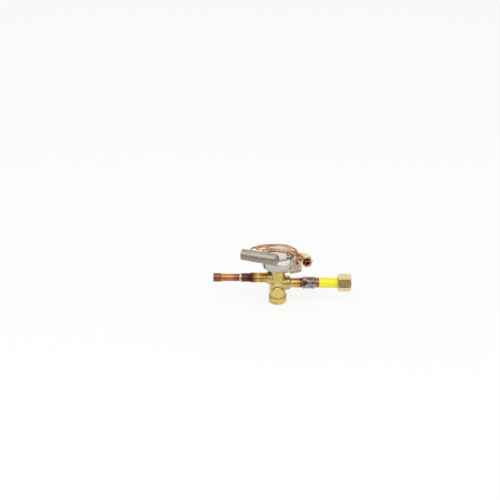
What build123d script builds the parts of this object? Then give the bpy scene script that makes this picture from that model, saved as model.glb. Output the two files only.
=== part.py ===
from build123d import *
import os
from math import cos, pi, radians, sin, sqrt, tan

# Thermostatic expansion valve: forged brass body with offset inlet and outlet, a welded stainless
# power head, a sensing bulb on a formed capillary, a spring stack with its adjusting stem, a
# swivel-nut inlet, a brazed outlet and an equalizer tube with its flare nut.
#
# Millimetres. +Z runs up the main axis to the power head, +X towards the inlet nut and -Y towards
# the front. The origin is the centre of the seal cap's flat base.

# ---- Clearances ------------------------------------------------------------------------------
RUNNING = 0.05  # radial gap of a piece that turns or slides in its bearing
LOOSE = 0.3  # gap between pieces that pass each other without touching
AXIAL_PLAY = 0.1  # end play of a shoulder against its stop
BRAZE_GAP = 0.05  # radial gap that the braze alloy fills

# ---- Ports -----------------------------------------------------------------------------------
INLET_HEIGHT = 27.4
OUTLET_HEIGHT = 35.0
INLET_BOSS_RADIUS = 9.0
OUTLET_BOSS_RADIUS = 8.75
INLET_BOSS_REACH = 16.0  # from the main axis to the face of the boss
OUTLET_BOSS_REACH = 13.4
BOSS_CHAMFER = 0.7
SOCKET_BOTTOM = 9.0  # where both tube sockets end, from the main axis
PORT_BORE_RADIUS = 2.8

# ---- Tubes -----------------------------------------------------------------------------------
STUB_RADIUS = 6.35  # half-inch tube
STUB_WALL = 1.0
LINE_RADIUS = 4.763  # three-eighths tube
LINE_WALL = 0.8
BELL_DEPTH = 9.0
BELL_TAPER = 1.2  # length over which a tube widens into its bell

# ---- Inlet line ------------------------------------------------------------------------------
INLET_BELL_START = 31.5  # from the main axis
INLET_BELL_END = 46.0
INLET_BRAZE_LENGTH = 2.4
INLET_BRAZE_HEIGHT = 0.75
LABEL_START = 53.0
LABEL_WALL = 0.25
LABEL_GAP = 0.4  # between the label and the nut

# ---- Inlet nut -------------------------------------------------------------------------------
NUT_BACK = 76.8
NUT_LENGTH = 17.3
NUT_ACROSS_FLATS = 20.0
NUT_COLLAR = 4.6  # depth of the hole round the tube
NUT_THREAD_RADIUS = 7.4
NUT_RELIEF_RADIUS = 7.75
NUT_RELIEF_LENGTH = 2.3
NUT_TURN = 36.5  # degrees that the hexagon is turned at rest
NUT_MOUTH_CHAMFER = 0.6
HEX_CROWN_SLOPE = 30.0  # degrees of the crown chamfer on a hexagon
FLATS_UP = 30.0  # degrees that bring a hexagon's flats level
FLANGE_RADIUS = 7.1
FLANGE_THICKNESS = 1.5

# ---- Strainer --------------------------------------------------------------------------------
STRAINER_RADIUS = 5.2
STRAINER_LENGTH = 17.0
STRAINER_WALL = 0.6
STRAINER_RIM = 1.2
STRAINER_HOLE_RADIUS = 0.6
STRAINER_HOLE_COUNT = 8  # in each row
STRAINER_HOLE_ROWS = 4

# ---- Outlet line -----------------------------------------------------------------------------
OUTLET_STUB_END = 35.5  # from the main axis
OUTLET_REDUCED_RADIUS = 5.55
OUTLET_REDUCED_END = 46.7
OUTLET_SWAGE = 1.8
OUTLET_LINE_END = 82.2
OUTLET_SOCKET_DEPTH = 8.0
OUTLET_BRAZE_LENGTH = 1.5
BRAZE_FILLET = 1.0  # leg of the braze fillet where a stub meets the body

# ---- Body ------------------------------------------------------------------------------------
BARREL_RADIUS = 10.35
NECK_RADIUS = 9.6
NECK_START = 29.5  # height where the barrel draws in to the neck
HEAD_SHOULDER = 53.0  # top of the neck, under the power head
SPIGOT_RADIUS = 9.5
SPIGOT_BASE = 5.4
SPRING_BORE_RADIUS = 6.5
CHAMBER_TOP = 30.2  # roof of the inlet chamber
SEAT_BORE_RADIUS = 3.6
OUTLET_CHAMBER_TOP = 38.4
NECK_BORE_RADIUS = 6.8
NECK_BORE_FLOOR = 40.2

# ---- Front plug ------------------------------------------------------------------------------
PLUG_HEIGHT = 18.1
PLUG_FACE = 11.7  # from the main axis
PLUG_HEAD_RADIUS = 7.95
PLUG_HEAD_THICKNESS = 1.5
PLUG_SHANK_RADIUS = 5.2
PLUG_CHAMFER = 0.4
PLUG_BOSS_RADIUS = 8.2

# ---- Seal cap --------------------------------------------------------------------------------
CAP_RADIUS = 11.7
CAP_HEIGHT = 9.1
CAP_BASE = 2.2
CAP_ROUND = 1.7
CAP_CAVITY_RADIUS = 7.8
CAP_CAVITY_TOP = 4.7
CAP_GROOVE_HEIGHT = 6.4
CAP_GROOVE_DEPTH = 0.35
GASKET_THICKNESS = 0.7
GASKET_WIDTH = 1.3

# ---- Adjusting stem and gland ----------------------------------------------------------------
GLAND_RADIUS = 7.4
GLAND_TOP = 9.3
STEM_RADIUS = 2.75
STEM_THREAD_RADIUS = 2.4
STEM_SQUARE = 3.8
STEM_BASE = 2.6
STEM_SQUARE_LENGTH = 2.6
STEM_TOP = 17.6
COLLAR_RADIUS = 4.8
COLLAR_THICKNESS = 1.1
SEAL_RING_WIRE = 1.2
SEAL_POCKET_DEPTH = 1.7

# ---- Spring seat -----------------------------------------------------------------------------
SPRING_SEAT_HEIGHT = 12.9
SPRING_SEAT_THICKNESS = 2.2
SPRING_SEAT_RADIUS = 6.15
SPRING_SEAT_SPIGOT = 1.6
SPRING_SPIGOT_RADIUS = 3.4
LUG_WIDTH = 3.0
LUG_REACH = 7.1
LUG_TRAVEL_TOP = 18.6  # top of the slots in the body that keep the seat from turning

# ---- Spring ----------------------------------------------------------------------------------
SPRING_WIRE_RADIUS = 0.6
SPRING_COIL_RADIUS = 4.5
SPRING_TURNS = 4.5

# ---- Pin, carrier and push rods --------------------------------------------------------------
CARRIER_BASE = 23.0
CARRIER_THICKNESS = 2.6
CARRIER_RADIUS = 6.15
CARRIER_SPIGOT = 1.4
PIN_SHANK_RADIUS = 1.4
PIN_SHANK_DEPTH = 2.0
PIN_HEAD_RADIUS = 2.3
PIN_CONE_SLOPE = 22.0  # degrees between the cone and its axis
PIN_TIP_RADIUS = 0.7
SEAT_THICKNESS = 2.0
SEAT_ORIFICE_RADIUS = 1.7
SEAT_GAP = 0.06  # between the closed cone and the rim of the orifice
ROD_RADIUS = 0.8
ROD_OFFSET = 5.2
ROD_SEAL_THICKNESS = 2.0

# ---- Power head ------------------------------------------------------------------------------
SEAM_HEIGHT = 64.8
SEAM_RADIUS = 22.2
SEAM_FLANGE = 0.7  # thickness of each cup at the weld seam
CUP_WALL = 1.2
LOWER_WALL_RADIUS = 20.6
LOWER_ROUND = 3.6
SEAM_STEP = 21.0  # radius of both walls where they leave the seam
HUB_RADIUS = 11.0
HUB_BORE_RADIUS = 8.2
HUB_HEIGHT = 3.6
UPPER_WALL_RADIUS = 20.3
UPPER_CUP_RISE = 6.4  # from the seam up to the edge of the top
UPPER_EDGE_HEIGHT = SEAM_HEIGHT + UPPER_CUP_RISE
UPPER_EDGE_ROUND = 0.6
UPPER_GROOVE_WIDTH = 0.8
UPPER_GROOVE_DEPTH = 0.45
DOME_RISE = 1.0
DIAPHRAGM_THICKNESS = 0.25
DIAPHRAGM_RIM_RADIUS = 21.4
DIAPHRAGM_FLAT_RADIUS = 14.4
DIAPHRAGM_CLAMP_RADIUS = 18.4
DIAPHRAGM_RISE = 1.2
BUFFER_RADIUS = 14.0
BUFFER_THICKNESS = 1.8
BUFFER_HUB_RADIUS = 6.4
BUFFER_HUB_LENGTH = 4.5

# ---- Equalizer -------------------------------------------------------------------------------
EQ_FITTING_DROP = 8.3  # from the top of the neck down to the fitting's axis
EQ_FITTING_HEIGHT = HEAD_SHOULDER - EQ_FITTING_DROP
EQ_FITTING_TURN = 20.0  # degrees from +X towards the back
EQ_FITTING_REACH = 31.5
EQ_HEX_START = 15.5
EQ_HEX_ACROSS = 12.0
EQ_HEX_CHAMFER = 1.2
EQ_NECK_RADIUS = 4.4
EQ_BORE_RADIUS = 2.0
EQ_TUBE_STATION = 24.5  # along the fitting, where the tube leaves it
EQ_TUBE_RADIUS = 3.175  # quarter-inch tube
EQ_TUBE_WALL = 0.75
EQ_TUBE_BEND = 6.0
EQ_TUBE_BACK_RUN = 15.2  # from the fitting's axis to the first corner
EQ_TUBE_CREST = (23.5, 23.0)  # corner behind the head
EQ_TUBE_RISE = 8.8  # from the fitting's axis up to that corner
EQ_TUBE_LAST_RUN = 23.0  # from the last corner to the flared end
EQ_TUBE_SOCKET = 2.6  # from the fitting's axis to the end of the tube in it
EQ_SIDE_BOSS = 8.0  # from the fitting's axis to the face of its side boss
EQ_END = (38.1, -13.0, 62.9)  # centre of the flared end
EQ_END_TURN = 17.5  # degrees from the front towards the inlet
EQ_FLARE_RADIUS = 4.5
EQ_NUT_ACROSS = 14.3
EQ_NUT_LENGTH = 15.0
EQ_NUT_BACKSET = 4.6  # from the flared end to the mouth of the nut
EQ_NUT_THREAD_RADIUS = 5.05
EQ_NUT_THREAD_DEPTH = 9.0
EQ_NUT_SHOULDER_LENGTH = 5.0
EQ_NUT_SHOULDER_RADIUS = 5.4

# ---- Sensing bulb and capillary --------------------------------------------------------------
BULB_RADIUS = 7.3
BULB_LIFT = 5.8  # of the bulb's axis over the edge of the head's top
BULB_HEIGHT = UPPER_EDGE_HEIGHT + BULB_LIFT
BULB_NOSE = (0.9, -27.4, BULB_HEIGHT)  # tip of the rounded end
BULB_TAIL = (-45.3, -13.2, BULB_HEIGHT)  # centre of the flat end
BULB_NOSE_ROUND = 5.6
BULB_TAIL_ROUND = 0.9
BULB_STRAP_END = 35.4  # from the nose, where the full-size stretch for the strap ends
BULB_TAIL_RADIUS = 6.9
BULB_TAIL_RECESS = 1.2
BULB_RIM = 1.0
CAPILLARY_RADIUS = 1.3
CAPILLARY_SOCKET = 2.2  # length of the tube's end inside the head and the bulb's collar
CAPILLARY_COLLAR_RADIUS = 2.3
CAPILLARY_COLLAR_HEIGHT = 1.0
CAPILLARY_LEAD = 5.0  # straight length outside the bulb's collar
CAPILLARY_ROOT = (12.0, -6.5)  # where the tube enters the top of the head
BULB_ENTRY = 38.5  # from the nose along the bulb to the tube's collar

os.makedirs("parts", exist_ok=True)


def along(origin, direction, x_dir=None):
    """Plane at a point, with its normal along a direction."""
    if x_dir is None:
        return Plane(origin=origin, z_dir=direction)
    return Plane(origin=origin, x_dir=x_dir, z_dir=direction)


def lathe(points, base, mode=Mode.ADD):
    """Turns a closed outline of (distance along the axis, radius) points about a plane's normal."""
    section = Plane(origin=base.origin, x_dir=base.z_dir, z_dir=base.x_dir)
    with BuildSketch(section) as outline:
        with BuildLine():
            Polyline(*points, close=True)
        make_face()
    revolve(outline.sketch, axis=Axis(base.origin, base.z_dir), mode=mode)


def cylinder(base, radius, start, end, mode=Mode.ADD):
    """A round bar or bore along a plane's normal, from one distance to another."""
    with BuildSketch(base.offset(start)) as disc:
        Circle(radius)
    extrude(disc.sketch, amount=end - start, mode=mode)


def hexagon(base, across_flats, start, end, turn=0.0):
    """A hexagonal bar along a plane's normal."""
    with BuildSketch(base.offset(start)) as outline:
        RegularPolygon(across_flats / 2, 6, major_radius=False, rotation=turn)
    extrude(outline.sketch, amount=end - start)


def crown(base, across_flats, start, end):
    """Keeps what lies inside the cones that chamfer both ends of a hexagonal bar."""
    flat = across_flats / 2
    corner = flat / cos(radians(30))
    drop = (corner - flat) * tan(radians(HEX_CROWN_SLOPE)) + LOOSE
    rise = corner - flat + LOOSE / tan(radians(HEX_CROWN_SLOPE))
    points = [
        (start, 0),
        (start, flat - LOOSE),
        (start + drop, flat - LOOSE + rise),
        (end - drop, flat - LOOSE + rise),
        (end, flat - LOOSE),
        (end, 0),
    ]
    lathe(points, base, mode=Mode.INTERSECT)


def save(piece, node):
    """Labels a finished piece and writes it as the node's STEP file."""
    piece.part.label = node
    export_step(piece.part, f"parts/{node}.step")


UP = Plane.XY
INLET = along((0, 0, INLET_HEIGHT), (1, 0, 0), (0, 1, 0))
OUTLET = along((0, 0, OUTLET_HEIGHT), (-1, 0, 0), (0, 1, 0))
FRONT = along((0, 0, PLUG_HEIGHT), (0, -1, 0), (1, 0, 0))
eq_angle = radians(EQ_FITTING_TURN)
EQ_FITTING = along((0, 0, EQ_FITTING_HEIGHT), (cos(eq_angle), sin(eq_angle), 0), (0, 0, 1))
barrel_base = CAP_HEIGHT + GASKET_THICKNESS
socket_radius = STUB_RADIUS + BRAZE_GAP

# ---- Valve body ------------------------------------------------------------------------------
with BuildPart() as valve_body:
    lathe(
        [
            (SPIGOT_BASE, 0),
            (SPIGOT_BASE, SPIGOT_RADIUS),
            (barrel_base, SPIGOT_RADIUS),
            (barrel_base, BARREL_RADIUS),
            (NECK_START, BARREL_RADIUS),
            (NECK_START + BARREL_RADIUS - NECK_RADIUS, NECK_RADIUS),
            (HEAD_SHOULDER, NECK_RADIUS),
            (HEAD_SHOULDER, HUB_BORE_RADIUS - BRAZE_GAP),
            (HEAD_SHOULDER + HUB_HEIGHT, HUB_BORE_RADIUS - BRAZE_GAP),
            (HEAD_SHOULDER + HUB_HEIGHT, 0),
        ],
        UP,
    )
    lathe(
        [
            (0, 0),
            (0, INLET_BOSS_RADIUS),
            (INLET_BOSS_REACH - BOSS_CHAMFER, INLET_BOSS_RADIUS),
            (INLET_BOSS_REACH, INLET_BOSS_RADIUS - BOSS_CHAMFER),
            (INLET_BOSS_REACH, 0),
        ],
        INLET,
    )
    lathe(
        [
            (0, 0),
            (0, OUTLET_BOSS_RADIUS),
            (OUTLET_BOSS_REACH - BOSS_CHAMFER, OUTLET_BOSS_RADIUS),
            (OUTLET_BOSS_REACH, OUTLET_BOSS_RADIUS - BOSS_CHAMFER),
            (OUTLET_BOSS_REACH, 0),
        ],
        OUTLET,
    )
    boss_face = PLUG_FACE - PLUG_HEAD_THICKNESS
    cylinder(FRONT, PLUG_BOSS_RADIUS, 0, boss_face)
    cylinder(UP, SPRING_BORE_RADIUS, GLAND_TOP, CHAMBER_TOP, Mode.SUBTRACT)
    cylinder(UP, GLAND_RADIUS + BRAZE_GAP, SPIGOT_BASE, GLAND_TOP, Mode.SUBTRACT)
    cylinder(UP, SEAT_BORE_RADIUS, CHAMBER_TOP, OUTLET_CHAMBER_TOP, Mode.SUBTRACT)
    cylinder(UP, NECK_BORE_RADIUS, NECK_BORE_FLOOR, HEAD_SHOULDER + HUB_HEIGHT, Mode.SUBTRACT)
    cylinder(INLET, socket_radius, SOCKET_BOTTOM, INLET_BOSS_REACH, Mode.SUBTRACT)
    cylinder(INLET, PORT_BORE_RADIUS, 0, SOCKET_BOTTOM, Mode.SUBTRACT)
    cylinder(OUTLET, socket_radius, SOCKET_BOTTOM, OUTLET_BOSS_REACH, Mode.SUBTRACT)
    cylinder(OUTLET, PORT_BORE_RADIUS, 0, SOCKET_BOTTOM, Mode.SUBTRACT)
    cylinder(FRONT, PLUG_SHANK_RADIUS + BRAZE_GAP, 0, boss_face, Mode.SUBTRACT)
    cylinder(FRONT, PLUG_BOSS_RADIUS + LOOSE, boss_face, PLUG_FACE, Mode.SUBTRACT)
    cylinder(EQ_FITTING, EQ_BORE_RADIUS, 0, NECK_RADIUS, Mode.SUBTRACT)
    for side in (-1, 1):
        rod_axis = along((0, side * ROD_OFFSET, 0), (0, 0, 1))
        cylinder(rod_axis, ROD_RADIUS + RUNNING, CHAMBER_TOP, NECK_BORE_FLOOR, Mode.SUBTRACT)
    with BuildSketch(UP.offset(GLAND_TOP)) as lug_slots:
        Rectangle(2 * (LUG_REACH + RUNNING), LUG_WIDTH + 2 * RUNNING)
    extrude(lug_slots.sketch, amount=LUG_TRAVEL_TOP - GLAND_TOP, mode=Mode.SUBTRACT)
save(valve_body, "valve_body")

# ---- Front plug -----------------------------------------------------------
plug_inner_end = SPRING_BORE_RADIUS + LOOSE
with BuildPart() as front_plug:
    lathe(
        [
            (plug_inner_end, 0),
            (plug_inner_end, PLUG_SHANK_RADIUS),
            (boss_face, PLUG_SHANK_RADIUS),
            (boss_face, PLUG_HEAD_RADIUS),
            (PLUG_FACE - PLUG_CHAMFER, PLUG_HEAD_RADIUS),
            (PLUG_FACE, PLUG_HEAD_RADIUS - PLUG_CHAMFER),
            (PLUG_FACE, 0),
        ],
        FRONT,
    )
save(front_plug, "front_plug")

# ---- Seal cap and its gasket -----------------------------------------------------------------
cap_bore = SPIGOT_RADIUS + LOOSE
with BuildPart() as seal_cap:
    lathe(
        [
            (0, 0),
            (0, CAP_RADIUS),
            (CAP_GROOVE_HEIGHT, CAP_RADIUS),
            (CAP_GROOVE_HEIGHT + CAP_GROOVE_DEPTH, CAP_RADIUS - CAP_GROOVE_DEPTH),
            (CAP_GROOVE_HEIGHT + 2 * CAP_GROOVE_DEPTH, CAP_RADIUS),
            (CAP_HEIGHT, CAP_RADIUS),
            (CAP_HEIGHT, cap_bore),
            (CAP_CAVITY_TOP, cap_bore),
            (CAP_CAVITY_TOP, CAP_CAVITY_RADIUS),
            (CAP_BASE, CAP_CAVITY_RADIUS),
            (CAP_BASE, 0),
        ],
        UP,
    )
    base_edge = seal_cap.edges().filter_by(GeomType.CIRCLE).group_by(Axis.Z)[0]
    fillet(base_edge, radius=CAP_ROUND)
save(seal_cap, "seal_cap")

with BuildPart() as cap_gasket:
    gasket_inner = SPIGOT_RADIUS + RUNNING
    lathe(
        [
            (CAP_HEIGHT, gasket_inner),
            (CAP_HEIGHT, gasket_inner + GASKET_WIDTH),
            (barrel_base, gasket_inner + GASKET_WIDTH),
            (barrel_base, gasket_inner),
        ],
        UP,
    )
save(cap_gasket, "cap_gasket")

# ---- Packing gland, stem and its ring --------------------------------------------------------
pocket_radius = STEM_RADIUS + RUNNING + SEAL_RING_WIRE
with BuildPart() as packing_gland:
    lathe(
        [
            (SPIGOT_BASE, STEM_RADIUS + RUNNING),
            (SPIGOT_BASE, GLAND_RADIUS),
            (GLAND_TOP, GLAND_RADIUS),
            (GLAND_TOP, pocket_radius),
            (GLAND_TOP - SEAL_POCKET_DEPTH, pocket_radius),
            (GLAND_TOP - SEAL_POCKET_DEPTH, STEM_RADIUS + RUNNING),
        ],
        UP,
    )
save(packing_gland, "packing_gland")

ring_centre = STEM_RADIUS + RUNNING + SEAL_RING_WIRE / 2
ring_height = GLAND_TOP - SEAL_POCKET_DEPTH + SEAL_RING_WIRE / 2
with BuildPart() as stem_seal:
    with BuildSketch(Plane.XZ) as ring_section:
        with Locations((ring_centre, ring_height)):
            Circle(SEAL_RING_WIRE / 2)
    revolve(ring_section.sketch, axis=Axis.Z)
save(stem_seal, "stem_seal")

collar_base = GLAND_TOP + AXIAL_PLAY
with BuildPart() as adjusting_stem:
    lathe(
        [
            (STEM_BASE + STEM_SQUARE_LENGTH, 0),
            (STEM_BASE + STEM_SQUARE_LENGTH, STEM_RADIUS),
            (collar_base, STEM_RADIUS),
            (collar_base, COLLAR_RADIUS),
            (collar_base + COLLAR_THICKNESS, COLLAR_RADIUS),
            (collar_base + COLLAR_THICKNESS, STEM_THREAD_RADIUS),
            (STEM_TOP, STEM_THREAD_RADIUS),
            (STEM_TOP, 0),
        ],
        UP,
    )
    with BuildSketch(UP.offset(STEM_BASE)) as square:
        Rectangle(STEM_SQUARE, STEM_SQUARE)
    extrude(square.sketch, amount=STEM_SQUARE_LENGTH)
save(adjusting_stem, "adjusting_stem")

# ---- Spring seat, kept from turning by two lugs ----------------------------------------------
spring_base = SPRING_SEAT_HEIGHT + SPRING_SEAT_THICKNESS
with BuildPart() as spring_seat:
    with BuildSketch(UP.offset(SPRING_SEAT_HEIGHT)) as seat_outline:
        Circle(SPRING_SEAT_RADIUS)
        Rectangle(2 * LUG_REACH, LUG_WIDTH)
    extrude(seat_outline.sketch, amount=SPRING_SEAT_THICKNESS)
    cylinder(UP, SPRING_SPIGOT_RADIUS, spring_base, spring_base + SPRING_SEAT_SPIGOT)
    seat_hole = STEM_THREAD_RADIUS + RUNNING
    seat_top = spring_base + SPRING_SEAT_SPIGOT
    cylinder(UP, seat_hole, SPRING_SEAT_HEIGHT, seat_top, Mode.SUBTRACT)
save(spring_seat, "spring_seat")

# ---- Superheat spring ------------------------------------------------------------------------
spring_length = CARRIER_BASE - spring_base
coil_rise = spring_length - 2 * SPRING_WIRE_RADIUS
with BuildPart() as superheat_spring:
    with BuildLine() as coil:
        Helix(
            pitch=coil_rise / SPRING_TURNS,
            height=coil_rise,
            radius=SPRING_COIL_RADIUS,
            center=(0, 0, spring_base + SPRING_WIRE_RADIUS),
        )
    with BuildSketch(Plane(origin=coil.line @ 0, z_dir=coil.line % 0)) as wire:
        Circle(SPRING_WIRE_RADIUS)
    sweep(wire.sketch, path=coil.line, is_frenet=True)
save(superheat_spring, "superheat_spring")

# ---- Pin carrier, pin, seat and push rods ----------------------------------------------------
carrier_top = CARRIER_BASE + CARRIER_THICKNESS
with BuildPart() as pin_carrier:
    lathe(
        [
            (CARRIER_BASE - CARRIER_SPIGOT, 0),
            (CARRIER_BASE - CARRIER_SPIGOT, SPRING_SPIGOT_RADIUS),
            (CARRIER_BASE, SPRING_SPIGOT_RADIUS),
            (CARRIER_BASE, CARRIER_RADIUS),
            (carrier_top, CARRIER_RADIUS),
            (carrier_top, PIN_SHANK_RADIUS),
            (carrier_top - PIN_SHANK_DEPTH, PIN_SHANK_RADIUS),
            (carrier_top - PIN_SHANK_DEPTH, 0),
        ],
        UP,
    )
save(pin_carrier, "pin_carrier")

# The cone closes on the lower rim of the orifice, so its size follows from the orifice.
cone_run = 1 / tan(radians(PIN_CONE_SLOPE))
cone_radius_at_rim = SEAT_ORIFICE_RADIUS - SEAT_GAP / cos(radians(PIN_CONE_SLOPE))
cone_base = CHAMBER_TOP - (PIN_HEAD_RADIUS - cone_radius_at_rim) * cone_run
cone_tip = CHAMBER_TOP + (cone_radius_at_rim - PIN_TIP_RADIUS) * cone_run
with BuildPart() as valve_pin:
    lathe(
        [
            (carrier_top - PIN_SHANK_DEPTH, 0),
            (carrier_top - PIN_SHANK_DEPTH, PIN_SHANK_RADIUS),
            (carrier_top, PIN_SHANK_RADIUS),
            (carrier_top, PIN_HEAD_RADIUS),
            (cone_base, PIN_HEAD_RADIUS),
            (cone_tip, PIN_TIP_RADIUS),
            (cone_tip, 0),
        ],
        UP,
    )
save(valve_pin, "valve_pin")

with BuildPart() as seat_insert:
    lathe(
        [
            (CHAMBER_TOP, SEAT_ORIFICE_RADIUS),
            (CHAMBER_TOP, SEAT_BORE_RADIUS),
            (CHAMBER_TOP + SEAT_THICKNESS, SEAT_BORE_RADIUS),
            (CHAMBER_TOP + SEAT_THICKNESS, SEAT_ORIFICE_RADIUS),
        ],
        UP,
    )
save(seat_insert, "seat_insert")

diaphragm_base = SEAM_HEIGHT - DIAPHRAGM_THICKNESS / 2
buffer_top = diaphragm_base + DIAPHRAGM_RISE
buffer_base = buffer_top - BUFFER_THICKNESS
rod_top = buffer_base - BUFFER_HUB_LENGTH
with BuildPart() as push_rods:
    for side in (-1, 1):
        rod_axis = along((0, side * ROD_OFFSET, 0), (0, 0, 1))
        cylinder(rod_axis, ROD_RADIUS, carrier_top, rod_top)
save(push_rods, "push_rods")

with BuildPart() as rod_seal:
    seal_top = NECK_BORE_FLOOR + ROD_SEAL_THICKNESS
    cylinder(UP, NECK_BORE_RADIUS - RUNNING, NECK_BORE_FLOOR + RUNNING, seal_top)
    for side in (-1, 1):
        rod_axis = along((0, side * ROD_OFFSET, 0), (0, 0, 1))
        cylinder(rod_axis, ROD_RADIUS + RUNNING, NECK_BORE_FLOOR, seal_top, Mode.SUBTRACT)
save(rod_seal, "rod_seal")

# ---- Power head ------------------------------------------------------------------------------
with BuildPart() as buffer_plate:
    lathe(
        [
            (rod_top, 0),
            (rod_top, BUFFER_HUB_RADIUS),
            (buffer_base, BUFFER_HUB_RADIUS),
            (buffer_base, BUFFER_RADIUS),
            (buffer_top, BUFFER_RADIUS),
            (buffer_top, 0),
        ],
        UP,
    )
save(buffer_plate, "buffer_plate")

with BuildPart() as diaphragm:
    crest = buffer_top + DIAPHRAGM_THICKNESS
    lathe(
        [
            (buffer_top, 0),
            (buffer_top, DIAPHRAGM_FLAT_RADIUS),
            (diaphragm_base, DIAPHRAGM_CLAMP_RADIUS),
            (diaphragm_base, DIAPHRAGM_RIM_RADIUS),
            (diaphragm_base + DIAPHRAGM_THICKNESS, DIAPHRAGM_RIM_RADIUS),
            (diaphragm_base + DIAPHRAGM_THICKNESS, DIAPHRAGM_CLAMP_RADIUS),
            (crest, DIAPHRAGM_FLAT_RADIUS),
            (crest, 0),
        ],
        UP,
    )
save(diaphragm, "diaphragm")

with BuildPart() as head_lower_cup:
    lower_flange = diaphragm_base - SEAM_FLANGE
    with BuildSketch(Plane.XZ) as lower_section:
        with BuildLine():
            Polyline(
                (HUB_BORE_RADIUS, HEAD_SHOULDER + HUB_HEIGHT),
                (HUB_BORE_RADIUS, HEAD_SHOULDER),
                (LOWER_WALL_RADIUS - LOWER_ROUND, HEAD_SHOULDER),
            )
            RadiusArc(
                (LOWER_WALL_RADIUS - LOWER_ROUND, HEAD_SHOULDER),
                (LOWER_WALL_RADIUS, HEAD_SHOULDER + LOWER_ROUND),
                -LOWER_ROUND,
            )
            Polyline(
                (LOWER_WALL_RADIUS, HEAD_SHOULDER + LOWER_ROUND),
                (SEAM_STEP, lower_flange),
                (SEAM_RADIUS, lower_flange),
                (SEAM_RADIUS, diaphragm_base),
                (SEAM_STEP - CUP_WALL, diaphragm_base),
                (LOWER_WALL_RADIUS - CUP_WALL, HEAD_SHOULDER + LOWER_ROUND),
            )
            RadiusArc(
                (LOWER_WALL_RADIUS - CUP_WALL, HEAD_SHOULDER + LOWER_ROUND),
                (LOWER_WALL_RADIUS - LOWER_ROUND, HEAD_SHOULDER + CUP_WALL),
                LOWER_ROUND - CUP_WALL,
            )
            Polyline(
                (LOWER_WALL_RADIUS - LOWER_ROUND, HEAD_SHOULDER + CUP_WALL),
                (HUB_RADIUS, HEAD_SHOULDER + CUP_WALL),
                (HUB_RADIUS, HEAD_SHOULDER + HUB_HEIGHT),
                (HUB_BORE_RADIUS, HEAD_SHOULDER + HUB_HEIGHT),
            )
        make_face()
    revolve(lower_section.sketch, axis=Axis.Z)
save(head_lower_cup, "head_lower_cup")

# The top has a shallow pressed groove inside its edge and a low crown.
upper_base = diaphragm_base + DIAPHRAGM_THICKNESS
groove_outer = UPPER_WALL_RADIUS - UPPER_EDGE_ROUND
groove_inner = groove_outer - UPPER_GROOVE_WIDTH
root_radius = sqrt(CAPILLARY_ROOT[0] ** 2 + CAPILLARY_ROOT[1] ** 2)
crown_top = UPPER_EDGE_HEIGHT + DOME_RISE
with BuildPart() as head_upper_cup:
    with BuildSketch(Plane.XZ) as upper_section:
        with BuildLine():
            Polyline(
                (0, crown_top - CUP_WALL),
                (0, crown_top),
                (root_radius - CAPILLARY_COLLAR_RADIUS, crown_top),
                (groove_inner, UPPER_EDGE_HEIGHT),
                (groove_inner + UPPER_GROOVE_WIDTH / 2, UPPER_EDGE_HEIGHT - UPPER_GROOVE_DEPTH),
                (groove_outer, UPPER_EDGE_HEIGHT),
            )
            RadiusArc(
                (groove_outer, UPPER_EDGE_HEIGHT),
                (UPPER_WALL_RADIUS, UPPER_EDGE_HEIGHT - UPPER_EDGE_ROUND),
                UPPER_EDGE_ROUND,
            )
            Polyline(
                (UPPER_WALL_RADIUS, UPPER_EDGE_HEIGHT - UPPER_EDGE_ROUND),
                (SEAM_STEP, upper_base + SEAM_FLANGE),
                (SEAM_RADIUS, upper_base + SEAM_FLANGE),
                (SEAM_RADIUS, upper_base),
                (SEAM_STEP - CUP_WALL, upper_base),
                (UPPER_WALL_RADIUS - CUP_WALL, UPPER_EDGE_HEIGHT - UPPER_GROOVE_DEPTH - CUP_WALL),
                (root_radius - CAPILLARY_COLLAR_RADIUS, crown_top - CUP_WALL),
                (0, crown_top - CUP_WALL),
            )
        make_face()
    revolve(upper_section.sketch, axis=Axis.Z)
    root_axis = along((CAPILLARY_ROOT[0], CAPILLARY_ROOT[1], 0), (0, 0, 1))
    collar_top = crown_top + CAPILLARY_COLLAR_HEIGHT
    collar_foot = UPPER_EDGE_HEIGHT - CUP_WALL / 2
    cylinder(root_axis, CAPILLARY_COLLAR_RADIUS, collar_foot, collar_top)
    tube_hole = CAPILLARY_RADIUS + BRAZE_GAP
    cylinder(root_axis, tube_hole, UPPER_EDGE_HEIGHT - 2 * CUP_WALL, collar_top, Mode.SUBTRACT)
save(head_upper_cup, "head_upper_cup")

# ---- Inlet line ------------------------------------------------------------------------------
bell_bore = STUB_RADIUS + BRAZE_GAP
bell_outer = bell_bore + STUB_WALL
with BuildPart() as inlet_stub:
    lathe(
        [
            (SOCKET_BOTTOM, STUB_RADIUS - STUB_WALL),
            (SOCKET_BOTTOM, STUB_RADIUS),
            (INLET_BELL_START, STUB_RADIUS),
            (INLET_BELL_START + BELL_TAPER, bell_outer),
            (INLET_BELL_END, bell_outer),
            (INLET_BELL_END, bell_bore),
            (INLET_BELL_START + BELL_TAPER, bell_bore),
            (INLET_BELL_START + BELL_TAPER, STUB_RADIUS - STUB_WALL),
        ],
        INLET,
    )
save(inlet_stub, "inlet_stub")

tail_start = INLET_BELL_START + BELL_TAPER + LOOSE
flange_back = NUT_BACK + NUT_COLLAR + AXIAL_PLAY
flange_front = flange_back + FLANGE_THICKNESS
strainer_bore = STRAINER_RADIUS + RUNNING
with BuildPart() as inlet_tail_tube:
    lathe(
        [
            (tail_start, STUB_RADIUS - STUB_WALL),
            (tail_start, STUB_RADIUS),
            (flange_back, STUB_RADIUS),
            (flange_back, FLANGE_RADIUS),
            (flange_front, FLANGE_RADIUS),
            (flange_front, STUB_RADIUS - STUB_WALL),
        ],
        INLET,
    )
save(inlet_tail_tube, "inlet_tail_tube")

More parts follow.
